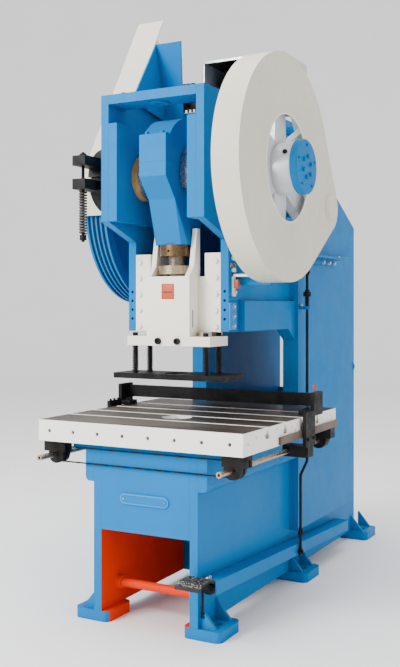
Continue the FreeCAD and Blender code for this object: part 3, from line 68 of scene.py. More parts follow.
class Finish:
    """One procedural material: a Principled shader with mottled colour, grain and softened edges."""

    def __init__(self, name, colour, roughness, metallic=0.0):
        self.material = bpy.data.materials.new(name)
        self.material.use_nodes = True
        self.tree = self.material.node_tree
        self.shader = self.tree.nodes["Principled BSDF"]
        self.place = self.add("ShaderNodeTexCoord").outputs["Object"]
        self.shader.inputs["Metallic"].default_value = metallic
        self.shader.inputs["Roughness"].default_value = roughness
        self.shader.inputs["Base Color"].default_value = (*colour, 1)
        self.colour = (*colour, 1)
        self.roughness = roughness

    def add(self, kind, **settings):
        node = self.tree.nodes.new(kind)
        for key, value in settings.items():
            setattr(node, key, value)
        return node

    def link(self, source, target):
        self.tree.links.new(source, target)

    def stretched(self, stretch):
        mapping = self.add("ShaderNodeMapping")
        mapping.inputs["Scale"].default_value = stretch
        self.link(self.place, mapping.inputs["Vector"])
        return mapping.outputs["Vector"]

    def noise(self, scale, detail=4.0, stretch=(1, 1, 1)):
        node = self.add("ShaderNodeTexNoise")
        node.inputs["Scale"].default_value = scale
        node.inputs["Detail"].default_value = detail
        node.inputs["Roughness"].default_value = 0.55
        self.link(self.stretched(stretch), node.inputs["Vector"])
        return node.outputs["Fac"]

    def ramp(self, factor, low, high, first=(0, 0, 0, 1), second=(1, 1, 1, 1)):
        node = self.add("ShaderNodeValToRGB")
        node.color_ramp.elements[0].position = low
        node.color_ramp.elements[1].position = high
        node.color_ramp.elements[0].color = first
        node.color_ramp.elements[1].color = second
        self.link(factor, node.inputs["Fac"])
        return node.outputs["Color"]

    def mix(self, factor, first, second):
        node = self.add("ShaderNodeMix", data_type="RGBA")
        sockets = node.inputs[0], node.inputs[6], node.inputs[7]
        for socket, value in zip(sockets, (factor, first, second)):
            if isinstance(value, bpy.types.NodeSocket):
                self.link(value, socket)
            else:
                socket.default_value = value
        return node.outputs[2]

    def math(self, operation, *values):
        node = self.add("ShaderNodeMath", operation=operation)
        for socket, value in zip(node.inputs, values):
            if isinstance(value, bpy.types.NodeSocket):
                self.link(value, socket)
            else:
                socket.default_value = value
        return node.outputs[0]

    def axes(self, source):
        node = self.add("ShaderNodeSeparateXYZ")
        self.link(source, node.inputs[0])
        return node.outputs

    def facing(self):
        return self.axes(self.add("ShaderNodeNewGeometry").outputs["Normal"])

    def mottle(self, scale, spread, stretch=(1, 1, 1)):
        """Base colour that drifts a little lighter and darker."""
        dark = tuple(channel * (1 - spread) for channel in self.colour[:3]) + (1,)
        light = tuple(min(1.0, channel * (1 + spread) + 0.02 * spread) for channel in self.colour[:3])
        self.base = self.ramp(self.noise(scale, 5, stretch), 0.3, 0.7, dark, light + (1,))
        return self

    def gloss(self, scale, spread, stretch=(1, 1, 1)):
        low, high = max(0.02, self.roughness - spread), min(1.0, self.roughness + spread)
        darkest, lightest = (low, low, low, 1), (high, high, high, 1)
        self.rough = self.ramp(self.noise(scale, 6, stretch), 0.35, 0.65, darkest, lightest)
        return self

    def relief(self, scale, strength, distance=0.0006, stretch=(1, 1, 1), detail=3.0, edge=0.0):
        bump = self.add("ShaderNodeBump")
        bump.inputs["Strength"].default_value = strength
        bump.inputs["Distance"].default_value = distance
        self.link(self.noise(scale, detail, stretch), bump.inputs["Height"])
        if edge:
            bevel = self.add("ShaderNodeBevel", samples=4)
            bevel.inputs["Radius"].default_value = edge
            self.link(bevel.outputs["Normal"], bump.inputs["Normal"])
        self.normal = bump.outputs["Normal"]
        return self

    def done(self):
        for attribute, socket in (("base", "Base Color"), ("rough", "Roughness"), ("normal", "Normal")):
            if hasattr(self, attribute):
                self.link(getattr(self, attribute), self.shader.inputs[socket])
        return self.material


def painted_crevice_shade(finish, amount, tone):
    """Darkens crevices and low places a little with painted shade: ambient occlusion mixes a shade tone
    into the base colour.
    """
    hollow = finish.add("ShaderNodeAmbientOcclusion", samples=4)
    hollow.inputs["Distance"].default_value = 0.03
    # painted shade: occluded spots take the shade tone
    depth = finish.ramp(hollow.outputs["AO"], 0.25, 0.9, (amount,) * 3 + (1,), (0, 0, 0, 1))
    finish.base = finish.mix(depth, finish.base, tone)
    return finish


BLUE = (0.0, 0.158, 0.42)
ORANGE = (0.72, 0.032, 0.0)
CREAM = (0.90, 0.86, 0.74)
BLUE_SHADE = (0.0, 0.05, 0.16, 1)
BAY_HALF, BAY_TOP = 0.2265, 0.774
BAY_FRONT, BAY_REAR = -1.0665, -0.30
CHAIN_Y, SPROCKET_HALF = -1.080, 0.020


def enamel(name, colour, spread=0.04, roughness=0.36):
    finish = Finish(name, colour, roughness)
    finish.shader.inputs["Specular IOR Level"].default_value = 0.05
    return finish.mottle(2.2, spread).gloss(9, 0.07).relief(180, 0.10, 0.0004, edge=0.003)


def blue_enamel():
    return painted_crevice_shade(enamel("blue_enamel", BLUE), 0.4, BLUE_SHADE).done()


def frame_enamel():
    """Blue outside; orange-red on the faces that look into the base below the table."""
    finish = painted_crevice_shade(enamel("frame_enamel", BLUE), 0.4, BLUE_SHADE)
    x, y, z = finish.axes(finish.place)
    inside = finish.math("LESS_THAN", finish.math("ABSOLUTE", x), BAY_HALF)
    low = finish.math("LESS_THAN", z, BAY_TOP)
    behind = finish.math("GREATER_THAN", y, BAY_FRONT)
    before = finish.math("LESS_THAN", y, BAY_REAR)
    square = finish.math("GREATER_THAN", finish.facing()[1], -0.5)
    across = finish.math("MULTIPLY", inside, low)
    along = finish.math("MULTIPLY", behind, before)
    mask = finish.math("MULTIPLY", finish.math("MULTIPLY", across, along), square)
    warm = finish.ramp(finish.noise(3.0), 0.3, 0.7, (0.62, 0.022, 0.0, 1), (0.76, 0.036, 0.0, 1))
    finish.base = finish.mix(mask, finish.base, warm)
    return finish.done()


def cream_enamel():
    return painted_crevice_shade(enamel("cream_enamel", CREAM, 0.03, 0.3), 0.3, (0.30, 0.26, 0.19, 1)).done()


def guard_enamel():
    """The greyer cream of the gear and belt guards."""
    return painted_crevice_shade(enamel("guard_enamel", (0.66, 0.63, 0.52), 0.03, 0.3), 0.3, (0.25, 0.22, 0.17, 1)).done()


def orange_enamel():
    return enamel("orange_enamel", ORANGE, 0.08).done()


def black_oxide():
    finish = Finish("black_oxide", (0.0030, 0.0027, 0.0025), 0.52)
    finish.shader.inputs["Specular IOR Level"].default_value = 0.14
    finish.mottle(14, 0.5).gloss(30, 0.12).relief(350, 0.22, 0.0004, edge=0.0012)
    worn = finish.ramp(finish.noise(40, 8), 0.68, 0.84)
    finish.base = finish.mix(worn, finish.base, (0.014, 0.011, 0.009, 1))
    return finish.done()


def tread_plate():
    """Black pedal plate, rubbed through to bright flecks."""
    finish = Finish("tread_plate", (0.005, 0.005, 0.005), 0.55)
    finish.shader.inputs["Specular IOR Level"].default_value = 0.2
    finish.mottle(20, 0.5).gloss(40, 0.12).relief(300, 0.3, 0.0005, edge=0.001)
    flecks = finish.ramp(finish.noise(170, 3), 0.535, 0.575)
    up = finish.math("GREATER_THAN", finish.facing()[2], 0.6)
    finish.base = finish.mix(finish.math("MULTIPLY", flecks, up), finish.base, (0.30, 0.29, 0.27, 1))
    return finish.done()


def oiled_steel(name, colour, stretch, roughness=0.26, metallic=1.0):
    finish = Finish(name, colour, roughness, metallic=metallic)
    finish.mottle(60, 0.22, stretch=stretch).gloss(120, 0.10, stretch)
    finish.relief(500, 0.12, 0.0002, stretch=stretch, edge=0.001)
    film = finish.ramp(finish.noise(7, 5), 0.5, 0.72)
    finish.base = finish.mix(film, finish.base, (colour[0] * 0.45, colour[1] * 0.36, colour[2] * 0.26, 1))
    return finish.done()


def table_finish():
    """Cream enamel on the sides; a ground, oil-stained top with faint grinding lines along X."""
    finish = painted_crevice_shade(enamel("table_finish", (0.88, 0.86, 0.80), 0.03, 0.34), 0.35, (0.10, 0.08, 0.06, 1))
    up = finish.math("GREATER_THAN", finish.facing()[2], 0.9)
    lines = finish.noise(34, 6, (0.12, 14, 1))
    ground = finish.ramp(lines, 0.3, 0.7, (0.040, 0.030, 0.023, 1), (0.14, 0.112, 0.088, 1))
    stain = finish.ramp(finish.noise(3.4, 7, (0.6, 1.3, 1)), 0.42, 0.70)
    ground = finish.mix(stain, ground, (0.022, 0.016, 0.012, 1))
    finish.base = finish.mix(up, finish.base, ground)
    finish.rough = finish.mix(up, finish.rough, (0.42, 0.42, 0.42, 1))
    finish.link(finish.math("MULTIPLY", up, 0.12), finish.shader.inputs["Metallic"])
    return finish.done()


def belt_rubber():
    finish = Finish("belt_rubber", (0.014, 0.014, 0.014), 0.72)
    return finish.mottle(30, 0.4).gloss(60, 0.1).relief(240, 0.3).done()


def galvanised():
    """Zinc sheet with its crystal spangle."""
    finish = Finish("galvanised", (0.62, 0.64, 0.66), 0.36, metallic=0.9)
    cells = finish.add("ShaderNodeTexVoronoi")
    cells.inputs["Scale"].default_value = 55
    finish.link(finish.place, cells.inputs["Vector"])
    dull, bright = (0.46, 0.48, 0.50, 1), (0.74, 0.76, 0.78, 1)
    smooth, coarse = (0.28, 0.28, 0.28, 1), (0.46, 0.46, 0.46, 1)
    finish.base = finish.ramp(cells.outputs["Color"], 0.1, 0.9, dull, bright)
    finish.rough = finish.ramp(cells.outputs["Distance"], 0.0, 0.8, smooth, coarse)
    finish.relief(90, 0.08, edge=0.0015)
    return finish.done()


def lead_screw_finish():
    """Bronze-brown screw with a blackened sprocket."""
    finish = Finish("lead_screw", (0.42, 0.31, 0.22), 0.3, metallic=1.0)
    finish.mottle(40, 0.2, stretch=(1, 14, 1)).gloss(90, 0.08).relief(260, 0.15, 0.0003, edge=0.0008)
    y = finish.axes(finish.place)[1]
    away = finish.math("ABSOLUTE", finish.math("SUBTRACT", y, CHAIN_Y))
    near = finish.math("LESS_THAN", away, SPROCKET_HALF)
    finish.base = finish.mix(near, finish.base, (0.012, 0.010, 0.009, 1))
    return finish.done()


def hood_finish():
    """Zinc sheet outside, and near-black brown painted shade on the faces that look down or in over the
    motor.
    """
    finish = Finish("hood", (0.60, 0.62, 0.63), 0.4, metallic=0.6)
    finish.mottle(30, 0.12).gloss(40, 0.08).relief(90, 0.1, edge=0.0015)
    # painted shade: faces turned toward -Y or downward, inside the hood, are painted near-black brown
    inward = finish.math("LESS_THAN", finish.facing()[1], -0.5)
    below = finish.math("LESS_THAN", finish.facing()[2], -0.5)
    inner = finish.math("MAXIMUM", inward, below)
    finish.base = finish.mix(inner, finish.base, (0.030, 0.018, 0.012, 1))
    return finish.done()


def grey_casting():
    finish = Finish("grey_casting", (0.62, 0.64, 0.65), 0.4, metallic=0.15)
    finish.mottle(8, 0.10).gloss(20, 0.1).relief(130, 0.45, 0.0012, detail=6, edge=0.003)
    return painted_crevice_shade(finish, 0.5, (0.10, 0.10, 0.10, 1)).done()


def label_finish(name, colour):
    finish = Finish(name, colour, 0.45)
    return finish.mottle(25, 0.06).gloss(40, 0.05).relief(300, 0.05, edge=0.0008).done()


LOOKS = {
    "blue_enamel": blue_enamel(),
    "tread_plate": tread_plate(),
    "cream_enamel": cream_enamel(),
    "orange_enamel": orange_enamel(),
    "black_oxide": black_oxide(),
    "bright_steel": oiled_steel("bright_steel", (0.56, 0.53, 0.48), (1, 1, 8)),
    "bronze": oiled_steel("bronze", (0.52, 0.30, 0.10), (6, 1, 1), 0.34, 0.3),
    "ground_steel": oiled_steel("ground_steel", (0.30, 0.24, 0.19), (1, 0.2, 10), 0.35),
    "spring_steel": oiled_steel("spring_steel", (0.10, 0.095, 0.09), (1, 1, 1), 0.35),
    "galvanised": galvanised(),
    "belt_rubber": belt_rubber(),
    "grey_casting": grey_casting(),
}
LOOKS["frame"] = frame_enamel()
LOOKS["table"] = table_finish()
LOOKS["guard"] = guard_enamel()
LOOKS["lead_screw"] = lead_screw_finish()
LOOKS["hood"] = hood_finish()
LOOKS["dark_bronze"] = oiled_steel("dark_bronze", (0.16, 0.095, 0.05), (6, 1, 1), 0.3)
LOOKS["dull_bronze"] = oiled_steel("dull_bronze", (0.46, 0.36, 0.24), (6, 1, 1), 0.3)
LOOKS["dark_steel"] = oiled_steel("dark_steel", (0.20, 0.16, 0.13), (1, 1, 4), 0.3)
LOOKS["orange_label"] = label_finish("orange_label", (0.50, 0.050, 0.0))
# dark print for labels and the earth stud; the same dark colour is painted shade in the slide's slit and
# the table's side holes
LOOKS["dark_print_and_shade"] = label_finish("dark_print_and_shade", (0.015, 0.013, 0.012))
LOOKS["pale_blue"] = enamel("pale_blue_enamel", (0.02, 0.22, 0.60)).done()
LOOKS["spring_black"] = oiled_steel("spring_black", (0.035, 0.032, 0.030), (1, 1, 1), 0.38)
LOOKS["rail_brown"] = oiled_steel("rail_brown", (0.11, 0.075, 0.05), (1, 8, 1), 0.45, 0.2)
LOOKS["red_brown"] = label_finish("red_brown", (0.30, 0.055, 0.015))
OWN_LOOK = {
    "side_plate_left": "frame", "side_plate_right": "frame", "cross_plates": "frame",
    "base_front_plate": "frame", "mounting_feet": "frame", "bed_plate": "frame",
    "bolster_table": "table", "pedal_pad": "tread_plate", "guide_bars": "rail_brown",
    "lead_screw_left": "lead_screw", "lead_screw_right": "lead_screw",
    "gear_guard": "guard", "belt_guard": "guard", "motor_hood": "hood", "cap_bolts": "blue_enamel",
    "lock_collar": "dark_bronze", "screw_ring": "dull_bronze", "ball_screw": "dark_steel",
}


def dress_nodes():
    for node, thing in frame["nodes"].items():
        look = LOOKS[OWN_LOOK.get(node, SLOT_OF[node])]
        thing.data.materials.clear()
        thing.data.materials.append(look)


# ---------------------------------------------------------------- mesh helpers

def span(node):
    low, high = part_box(node)
    return Vector(low), Vector(high)


def middle(node):
    low, high = span(node)
    return (low + high) / 2


def put(name, bm, look, body, smooth=30):
    """Turns a bmesh into a finished piece that rides a body."""
    bmesh.ops.recalc_face_normals(bm, faces=bm.faces)
    mesh = bpy.data.meshes.new(name)
    bm.to_mesh(mesh)
    bm.free()
    piece = bpy.data.objects.new(name, mesh)
    bpy.context.scene.collection.objects.link(piece)
    mesh.materials.append(LOOKS[look])
    for face in mesh.polygons:
        face.use_smooth = True
    mesh.set_sharp_from_angle(angle=math.radians(smooth))
    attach(piece, body)
    return piece


def lathe(bm, profile, centre, axis="Z", segments=32):
    """Adds a turned shape from (radius, along) corners, closed at both ends."""
    place = Matrix.Translation(centre) @ TURN_TO[axis]
    turn = 2 * math.pi / segments
    rings = []
    for radius, along in profile:
        count = segments if radius > 1e-6 else 1
        spots = [Vector((radius * math.cos(turn * step), radius * math.sin(turn * step), along))
                 for step in range(count)]
        rings.append([bm.verts.new(place @ spot) for spot in spots])
    for one, other in zip(rings, rings[1:]):
        for step in range(segments):
            corners = [one[step % len(one)], one[(step + 1) % len(one)],
                       other[(step + 1) % len(other)], other[step % len(other)]]
            unique = list(dict.fromkeys(corners))
            if len(unique) > 2:
                bm.faces.new(unique)


def slab(bm, outline, low, high, place=Matrix.Identity(4), soften=0.0):
    """Adds a plate: an (x, y) outline between two heights, with its edges softened."""
    bottom = [bm.verts.new(place @ Vector((x, y, low))) for x, y in outline]
    top = [bm.verts.new(place @ Vector((x, y, high))) for x, y in outline]
    faces = [bm.faces.new(bottom[::-1]), bm.faces.new(top)]
    count = len(outline)
    for step in range(count):
        after = (step + 1) % count
        faces.append(bm.faces.new((bottom[step], bottom[after], top[after], top[step])))
    if soften:
        edges = list({edge for face in faces for edge in face.edges})
        bmesh.ops.bevel(bm, geom=edges, offset=soften, segments=2, affect="EDGES", profile=0.6)


def brick(bm, low, high, soften=0.0):
    outline = [(low[0], low[1]), (high[0], low[1]), (high[0], high[1]), (low[0], high[1])]
    slab(bm, outline, low[2], high[2], soften=soften)


def hex_bolt(bm, centre, axis, radius, height, washer=True):
    """Adds a bolt head standing on a face: a washer, a chamfered hexagon and its domed end."""
    base = height * 0.15 if washer else 0.0
    if washer:
        lathe(bm, [(0, 0), (radius * 1.35, 0), (radius * 1.35, base), (0, base)], centre, axis, 24)
    lathe(bm, [(0, base), (radius * 0.95, base), (radius, base + height * 0.06), (radius, height * 0.86),
               (radius * 0.82, height), (0, height)], centre, axis, 6)


def cap_screw(bm, centre, axis, radius, height):
    """Adds a socket screw head with its recess."""
    lathe(bm, [(0, 0), (radius, 0), (radius, height * 0.88), (radius * 0.9, height), (radius * 0.5, height),
               (radius * 0.5, height * 0.4), (0, height * 0.4)], centre, axis, 20)


def oval(length, height, steps=12):
    """A stadium outline centred on the origin."""
    half, straight = height / 2, length / 2 - height / 2
    points = []
    for side, start in ((1, -90), (-1, 90)):
        for step in range(steps + 1):
            turn = math.radians(start + 180 * step / steps)
            points.append((side * straight + half * math.cos(turn), half * math.sin(turn)))
    return points


def circle(bm, middle_point, first, second, radius, sides):
    """Adds a ring of points round a place, in the plane of two unit directions."""
    turn = 2 * math.pi / sides
    return [bm.verts.new(middle_point + first * (radius * math.cos(turn * side))
                         + second * (radius * math.sin(turn * side))) for side in range(sides)]


def tube(bm, rings):
    """Joins rings into one tube with closed ends."""
    sides = len(rings[0])
    for one, other in zip(rings, rings[1:]):
        for side in range(sides):
            after = (side + 1) % sides
            bm.faces.new((one[side], one[after], other[after], other[side]))
    bm.faces.new(rings[0][::-1])
    bm.faces.new(rings[-1])


def weld(bm, start, end, radius=0.006, ripple=0.014):
    """Adds a weld bead: a low tube whose thickness ripples along the joint."""
    start, end = Vector(start), Vector(end)
    run = end - start
    turned = run.to_track_quat("Z", "Y").to_matrix()
    steps = max(4, int(run.length / ripple) * 2)
    rings = []
    for step in range(steps + 1):
        wide = radius * (1.0 if step % 2 else 0.78)
        rings.append(circle(bm, start + run * (step / steps), turned.col[0], turned.col[1], wide, 6))
    tube(bm, rings)


def thread(bm, centre, axis, radius, length, pitch, depth):
    """Adds a threaded sleeve over a rod: a row of vee ridges."""
    profile = [(radius - depth, 0)]
    for number in range(int(length / pitch)):
        profile += [(radius, pitch * (number + 0.5)), (radius - depth, pitch * (number + 1))]
    lathe(bm, [(0, 0)] + profile + [(0, pitch * int(length / pitch))], centre, axis, 28)


# ---------------------------------------------------------------- details

def front_plates():
    """The blank oval badge on the base and the plain orange square on the slide."""
    badge_z, label_z = 0.566, 1.482
    place = Matrix.Translation((0, span("base_front_plate")[0].y, badge_z)) @ TURN_TO["-Y"]
    bm = bmesh.new()
    slab(bm, oval(0.250, 0.048), 0, 0.006, place, 0.0015)
    put("badge_rim", bm, "pale_blue", "frame")
    bm = bmesh.new()
    slab(bm, oval(0.234, 0.032), 0.0055, 0.0068, place)
    put("badge_field", bm, "blue_enamel", "frame")
    bm = bmesh.new()
    for side in (-1, 1):
        rivet = [(0, 0.0068), (0.004, 0.0068), (0.003, 0.0088), (0, 0.0094)]
        lathe(bm, rivet, place @ Vector((side * 0.105, 0, 0)), "-Y", 16)
    put("badge_rivets", bm, "bright_steel", "frame")

    place = Matrix.Translation((0, span("ram")[0].y, label_z)) @ TURN_TO["-Y"]
    half, tall = 0.033, 0.0355
    bm = bmesh.new()
    slab(bm, [(-half, -tall), (half, -tall), (half, tall), (-half, tall)], 0, 0.0016, place, 0.0005)
    put("slide_label", bm, "orange_label", "slide")
    bm = bmesh.new()
    for x0, y0, x1, y1 in ((-0.029, -0.0315, 0.029, -0.0305), (-0.029, 0.0305, 0.029, 0.0315),
                           (-0.029, -0.0305, -0.028, 0.0305), (0.028, -0.0305, 0.029, 0.0305)):
        slab(bm, [(x0, y0), (x1, y0), (x1, y1), (x0, y1)], 0.0014, 0.0019, place)
    slab(bm, [(-0.022, -0.006), (0.022, -0.006), (0.022, 0.0), (-0.022, 0.0)], 0.0014, 0.0019, place)
    put("label_lines", bm, "dark_print_and_shade", "slide")


def slide_details():
    """A dark slit in the right cheek of the slide, drawn as a thin dark sheet of painted shade, and a
    bright round pad on its flange.
    """
    bm = bmesh.new()
    # painted shade: a thin dark sheet stands for the shadow inside the slit
    brick(bm, (0.1120, -0.835, 1.318), (0.1133, -0.829, 1.398), 0.0002)
    put("slide_slit_shade", bm, "dark_print_and_shade", "slide")
    bm = bmesh.new()
    pad = [(0, 0), (0.033, 0), (0.033, 0.018), (0.030, 0.021), (0, 0.021)]
    lathe(bm, pad, (0.150, -0.784, 1.2775), "Z", 36)
    put("slide_pad", bm, "bright_steel", "slide")


def frame_welds():
    """Beads where the plates of the frame and its feet are joined."""
    bm = bmesh.new()
    cheek = span("side_plate_right")[1].x
    base_front, arm_front, column_front, column_rear = -1.062, -0.664, -0.063, 0.78
    ledge, base_seam, arm_seam, crown = 0.255, 0.627, 1.44, 1.70
    pad_top, gusset_top, gusset_reach = 0.050, 0.134, 0.070
    for side in (-1, 1):
        x = side * (cheek + 0.001)
        runs = [
            ((x, base_front, base_seam), (x, column_front, base_seam)),
            ((x, column_front, base_seam), (x, column_front, ledge)),
            ((x, column_front + 0.003, crown), (x, column_rear, crown)),
            ((x, column_rear, crown), (x, column_rear, ledge + 0.007)),
            ((x, arm_front, arm_seam), (x, column_front - 0.005, arm_seam)),
            ((x, column_front, arm_seam + 0.005), (x, column_front, crown - 0.005)),
        ]
        for start, end in runs:
            weld(bm, start, end)
        for foot in (-0.9675, 0.0, 0.9675):
            weld(bm, (x, foot - 0.095, pad_top), (x, foot + 0.095, pad_top), 0.005)
            for y in (foot - 0.0775, foot - 0.0615, foot + 0.0615, foot + 0.0775):
                weld(bm, (x, y, pad_top), (x, y, gusset_top), 0.0035)
                reach = x + side * gusset_reach
                weld(bm, (x, y, pad_top - 0.001), (reach, y, pad_top - 0.001), 0.0035)
        inner = side * (cheek - 0.0405)
        weld(bm, (inner, -1.026, 0.42), (inner, -1.026, 0.77), 0.005)
    put("frame_welds", bm, "blue_enamel", "frame", smooth=60)


def guide_bracket():
    """What is bolted to the right cheek: a blue plate beside the slide and a cream limit-switch bar."""
    cheek = span("side_plate_right")[1].x
    front = span("gibs")[0].y
    bm = bmesh.new()
    plate = 0.008
    brick(bm, (cheek, -0.776, 1.306), (cheek + plate, -0.705, 1.432), 0.002)
    put("cheek_plate", bm, "pale_blue", "frame")
    bm = bmesh.new()
    for z in (1.325, 1.369, 1.413):
        hex_bolt(bm, (cheek + plate, -0.742, z), "X", 0.009, 0.009)
    put("cheek_plate_bolts", bm, "bright_steel", "frame")
    bm = bmesh.new()
    bar = 0.012
    brick(bm, (cheek, front + 0.03, 1.470), (cheek + bar, front + 0.05, 1.560), 0.002)
    brick(bm, (cheek, front + 0.03, 1.548), (cheek + 0.10, front + 0.05, 1.560), 0.002)
    put("switch_bar", bm, "cream_enamel", "frame")
    bm = bmesh.new()
    brick(bm, (cheek + bar, front + 0.028, 1.495), (cheek + 0.034, front + 0.052, 1.535), 0.003)
    put("switch_block", bm, "red_brown", "frame")
    bm = bmesh.new()
    for x, y, z in ((cheek + bar, 0.04, 1.478), (cheek, 0.02, 1.60), (cheek, 0.055, 1.60)):
        hex_bolt(bm, (x, front + y, z), "X", 0.008, 0.009)
    put("switch_bolts", bm, "bright_steel", "frame")


def column_fittings():
    """Bolts of the guard's long bracket and of the rod guide, and the earth stud behind them."""
    outer = span("doubler_plates")[1].x
    bm = bmesh.new()
    for y in (0.27, 0.36, 0.44):
        hex_bolt(bm, (outer + 0.012, y, 1.655), "X", 0.010, 0.010)
    for y in (0.05, 0.44):
        hex_bolt(bm, (outer + 0.038, y, 1.684), "Z", 0.010, 0.010)
    hex_bolt(bm, (outer + 0.006, -0.040, 1.418), "X", 0.007, 0.008)
    put("bracket_bolts", bm, "bright_steel", "frame")
    bm = bmesh.new()
    cheek = span("side_plate_right")[1].x
    earth = (cheek, 0.905, 1.045)
    dish = [(0.026, 0), (0.026, 0.010), (0.020, 0.014), (0.011, 0.014), (0.011, 0.004)]
    lathe(bm, [(0, 0)] + dish + [(0, 0.004)], earth, "X", 28)
    put("earth_boss", bm, "blue_enamel", "frame")
    bm = bmesh.new()
    lathe(bm, [(0, 0.003), (0.0105, 0.003), (0.0105, 0.0065), (0, 0.0065)], earth, "X", 20)
    put("earth_stud", bm, "dark_print_and_shade", "frame")


def guard_trim():
    """A rolled lip round the guard's window, in lighter cream than the guard's own paint: a painted
    highlight along the window's edge.
    """
    centre = middle("end_disc")
    centre.x = span("gear_guard")[1].x - 0.0225
    window, segments = 0.235, 96
    bm = bmesh.new()
    rings = []
    for step in range(segments):
        turn = 2 * math.pi * step / segments
        out = Vector((0, math.cos(turn), math.sin(turn)))
        rings.append(circle(bm, centre + out * window, out, Vector((1, 0, 0)), 0.0038, 8))
    for one, other in zip(rings, rings[1:] + rings[:1]):
        for side in range(8):
            bm.faces.new((one[side], one[(side + 1) % 8], other[(side + 1) % 8], other[side]))
    # painted highlight: the lip takes lighter cream than the greyer guard
    put("window_lip_highlight", bm, "cream_enamel", "frame", smooth=60)


def hub_details():
    """The ring of screws on the end disc and two plugs on the hub behind it."""
    low, high = span("end_disc")
    centre = (low + high) / 2
    ring, hub = 0.095, 0.112
    bm = bmesh.new()
    for step in range(5):
        turn = math.radians(18 + 72 * step)
        y, z = centre.y + ring * math.cos(turn), centre.z + ring * math.sin(turn)
        cap_screw(bm, (high.x - 0.009, y, z), "X", 0.0055, 0.004)
    put("disc_screws", bm, "blue_enamel", "bull_gear")
    bm = bmesh.new()
    for step in range(2):
        turn = math.radians(150 + 180 * step)
        spot = Vector((0.585, centre.y + hub * math.cos(turn), centre.z + hub * math.sin(turn)))
        plug = [(0, -0.004), (0.010, -0.004), (0.010, 0.008), (0.005, 0.012), (0, 0.012)]
        lathe(bm, plug, spot, "-Y" if math.cos(turn) < 0 else "Y", 16)
    put("hub_plugs", bm, "black_oxide", "bull_gear")


def pitman_details():
    """Oil nipples on the connecting rod's cap, and the thread between its ring and collar."""
    out = span("pitman_cap")[1].x
    bm = bmesh.new()
    for side in (-1, 1):
        for y in (-0.870, -0.690):
            nipple = [(0, 0), (0.007, 0), (0.007, 0.004), (0.003, 0.005), (0.003, 0.010), (0, 0.012)]
            lathe(bm, nipple, (side * out, y, 1.985), "X" if side > 0 else "-X", 16)
    put("oil_nipples", bm, "blue_enamel", "connecting_rod")
    centre = middle("ball_screw")
    bm = bmesh.new()
    collar, ring = span("lock_collar"), span("screw_ring")
    thread(bm, (centre.x, centre.y, ring[1].z), "Z", 0.0392, collar[0].z - ring[1].z, 0.006, 0.0028)
    put("screw_thread", bm, "bright_steel", "connecting_rod")


def brake_details():
    """The thread on the brake's stud and the bolts of its shoes."""
    low, high = span("brake_stud")
    centre = (low + high) / 2
    bm = bmesh.new()
    thread(bm, (centre.x, centre.y, low.z + 0.001), "Z", 0.0078, 0.03, 0.002, 0.0008)
    thread(bm, (centre.x, centre.y, 1.995), "Z", 0.0078, 0.058, 0.002, 0.0008)
    put("stud_thread", bm, "black_oxide", "frame")
    bm = bmesh.new()
    low = span("brake_shoes")[0]
    for z in (2.078, 1.970):
        for y in (-0.955, -0.925):
            hex_bolt(bm, (low.x + 0.010, y, z), "-X", 0.009, 0.009)
    put("brake_bolts", bm, "black_oxide", "frame")


def gauge_details():
    """Screws and clamp plates of the back gauge, and the red-brown strip at its end."""
    top = span("bolster_table")[1].z
    bm = bmesh.new()
    for side in (-1, 1):
        for y in (-0.455, -0.490, -0.525):
            cap_screw(bm, (side * 0.539, y, 0.927), "Z", 0.0065, 0.010)
        x0, x1 = sorted((side * 0.470, side * 0.531))
        brick(bm, (x0, -0.448, top + 0.0015), (x1, -0.378, top + 0.024), 0.002)
        for y in (-0.43, -0.40):
            hex_bolt(bm, (side * 0.497, y, top + 0.024), "Z", 0.009, 0.010)
    put("gauge_clamps", bm, "black_oxide", "gauge")
    bm = bmesh.new()
    for side in (-1, 1):
        for y in (-0.52, -0.45):
            hex_bolt(bm, (side * 0.547, y, 0.800), "X" if side > 0 else "-X", 0.008, 0.008)
    put("gauge_bolts", bm, "black_oxide", "gauge")
    bm = bmesh.new()
    brick(bm, (0.5128, -0.3732, 0.936), (0.5282, -0.3658, 1.0425), 0.0006)
    put("gauge_end_strip", bm, "red_brown", "gauge")


def chain_links():
    """Link plates along the two straight runs of the sync chain."""
    low, high = span("sync_chain")
    y = (low.y + high.y) / 2
    bm = bmesh.new()
    pitch = 0.0127
    for z in (low.z + 0.002, high.z - 0.002):
        for step in range(int(0.88 / pitch)):
            x = -0.44 + pitch * step
            half = 0.0040 if step % 2 else 0.0030
            brick(bm, (x, y - half, z - 0.0028), (x + pitch * 0.86, y + half, z + 0.0028))
    put("chain_links", bm, "black_oxide", "frame")


def treadle_details():
    """Raised diamonds on the pedal, the bolts of the ledge behind it and its stop rod."""
    low, high = span("pedal_pad")
    bm = bmesh.new()
    rows, columns = 14, 10
    for row in range(rows):
        for column in range(columns):
            x = low.x + 0.010 + (high.x - low.x - 0.020) * column / (columns - 1)
            y = low.y + 0.038 + (high.y - low.y - 0.076) * row / (rows - 1)
            turn = math.radians(45 if (row + column) % 2 else -45)
            ring = [(x + 0.0055 * math.cos(turn + a) * (1.0 if k % 2 else 0.42),
                     y + 0.0055 * math.sin(turn + a) * (1.0 if k % 2 else 0.42))
                    for k, a in enumerate((math.pi / 2, math.pi, 3 * math.pi / 2, 2 * math.pi))]
            slab(bm, ring, high.z - 0.0005, high.z + 0.0016)
    put("pedal_studs", bm, "tread_plate", "treadle")
    cheek = span("side_plate_right")[1].x
    bm = bmesh.new()
    for y in (-1.030, -1.012):
        hex_bolt(bm, (cheek + 0.028, y, 0.2555), "Z", 0.009, 0.010)
    put("ledge_bolts", bm, "bright_steel", "frame")
    bm = bmesh.new()
    lathe(bm, [(0, 0), (0.005, 0), (0.005, 0.150), (0, 0.150)], (cheek + 0.012, -1.045, 0.092), "Z", 12)
    for z in (0.092, 0.108):
        hex_bolt(bm, (cheek + 0.012, -1.045, z), "Z", 0.009, 0.008, washer=False)
    put("treadle_stop", bm, "black_oxide", "frame")


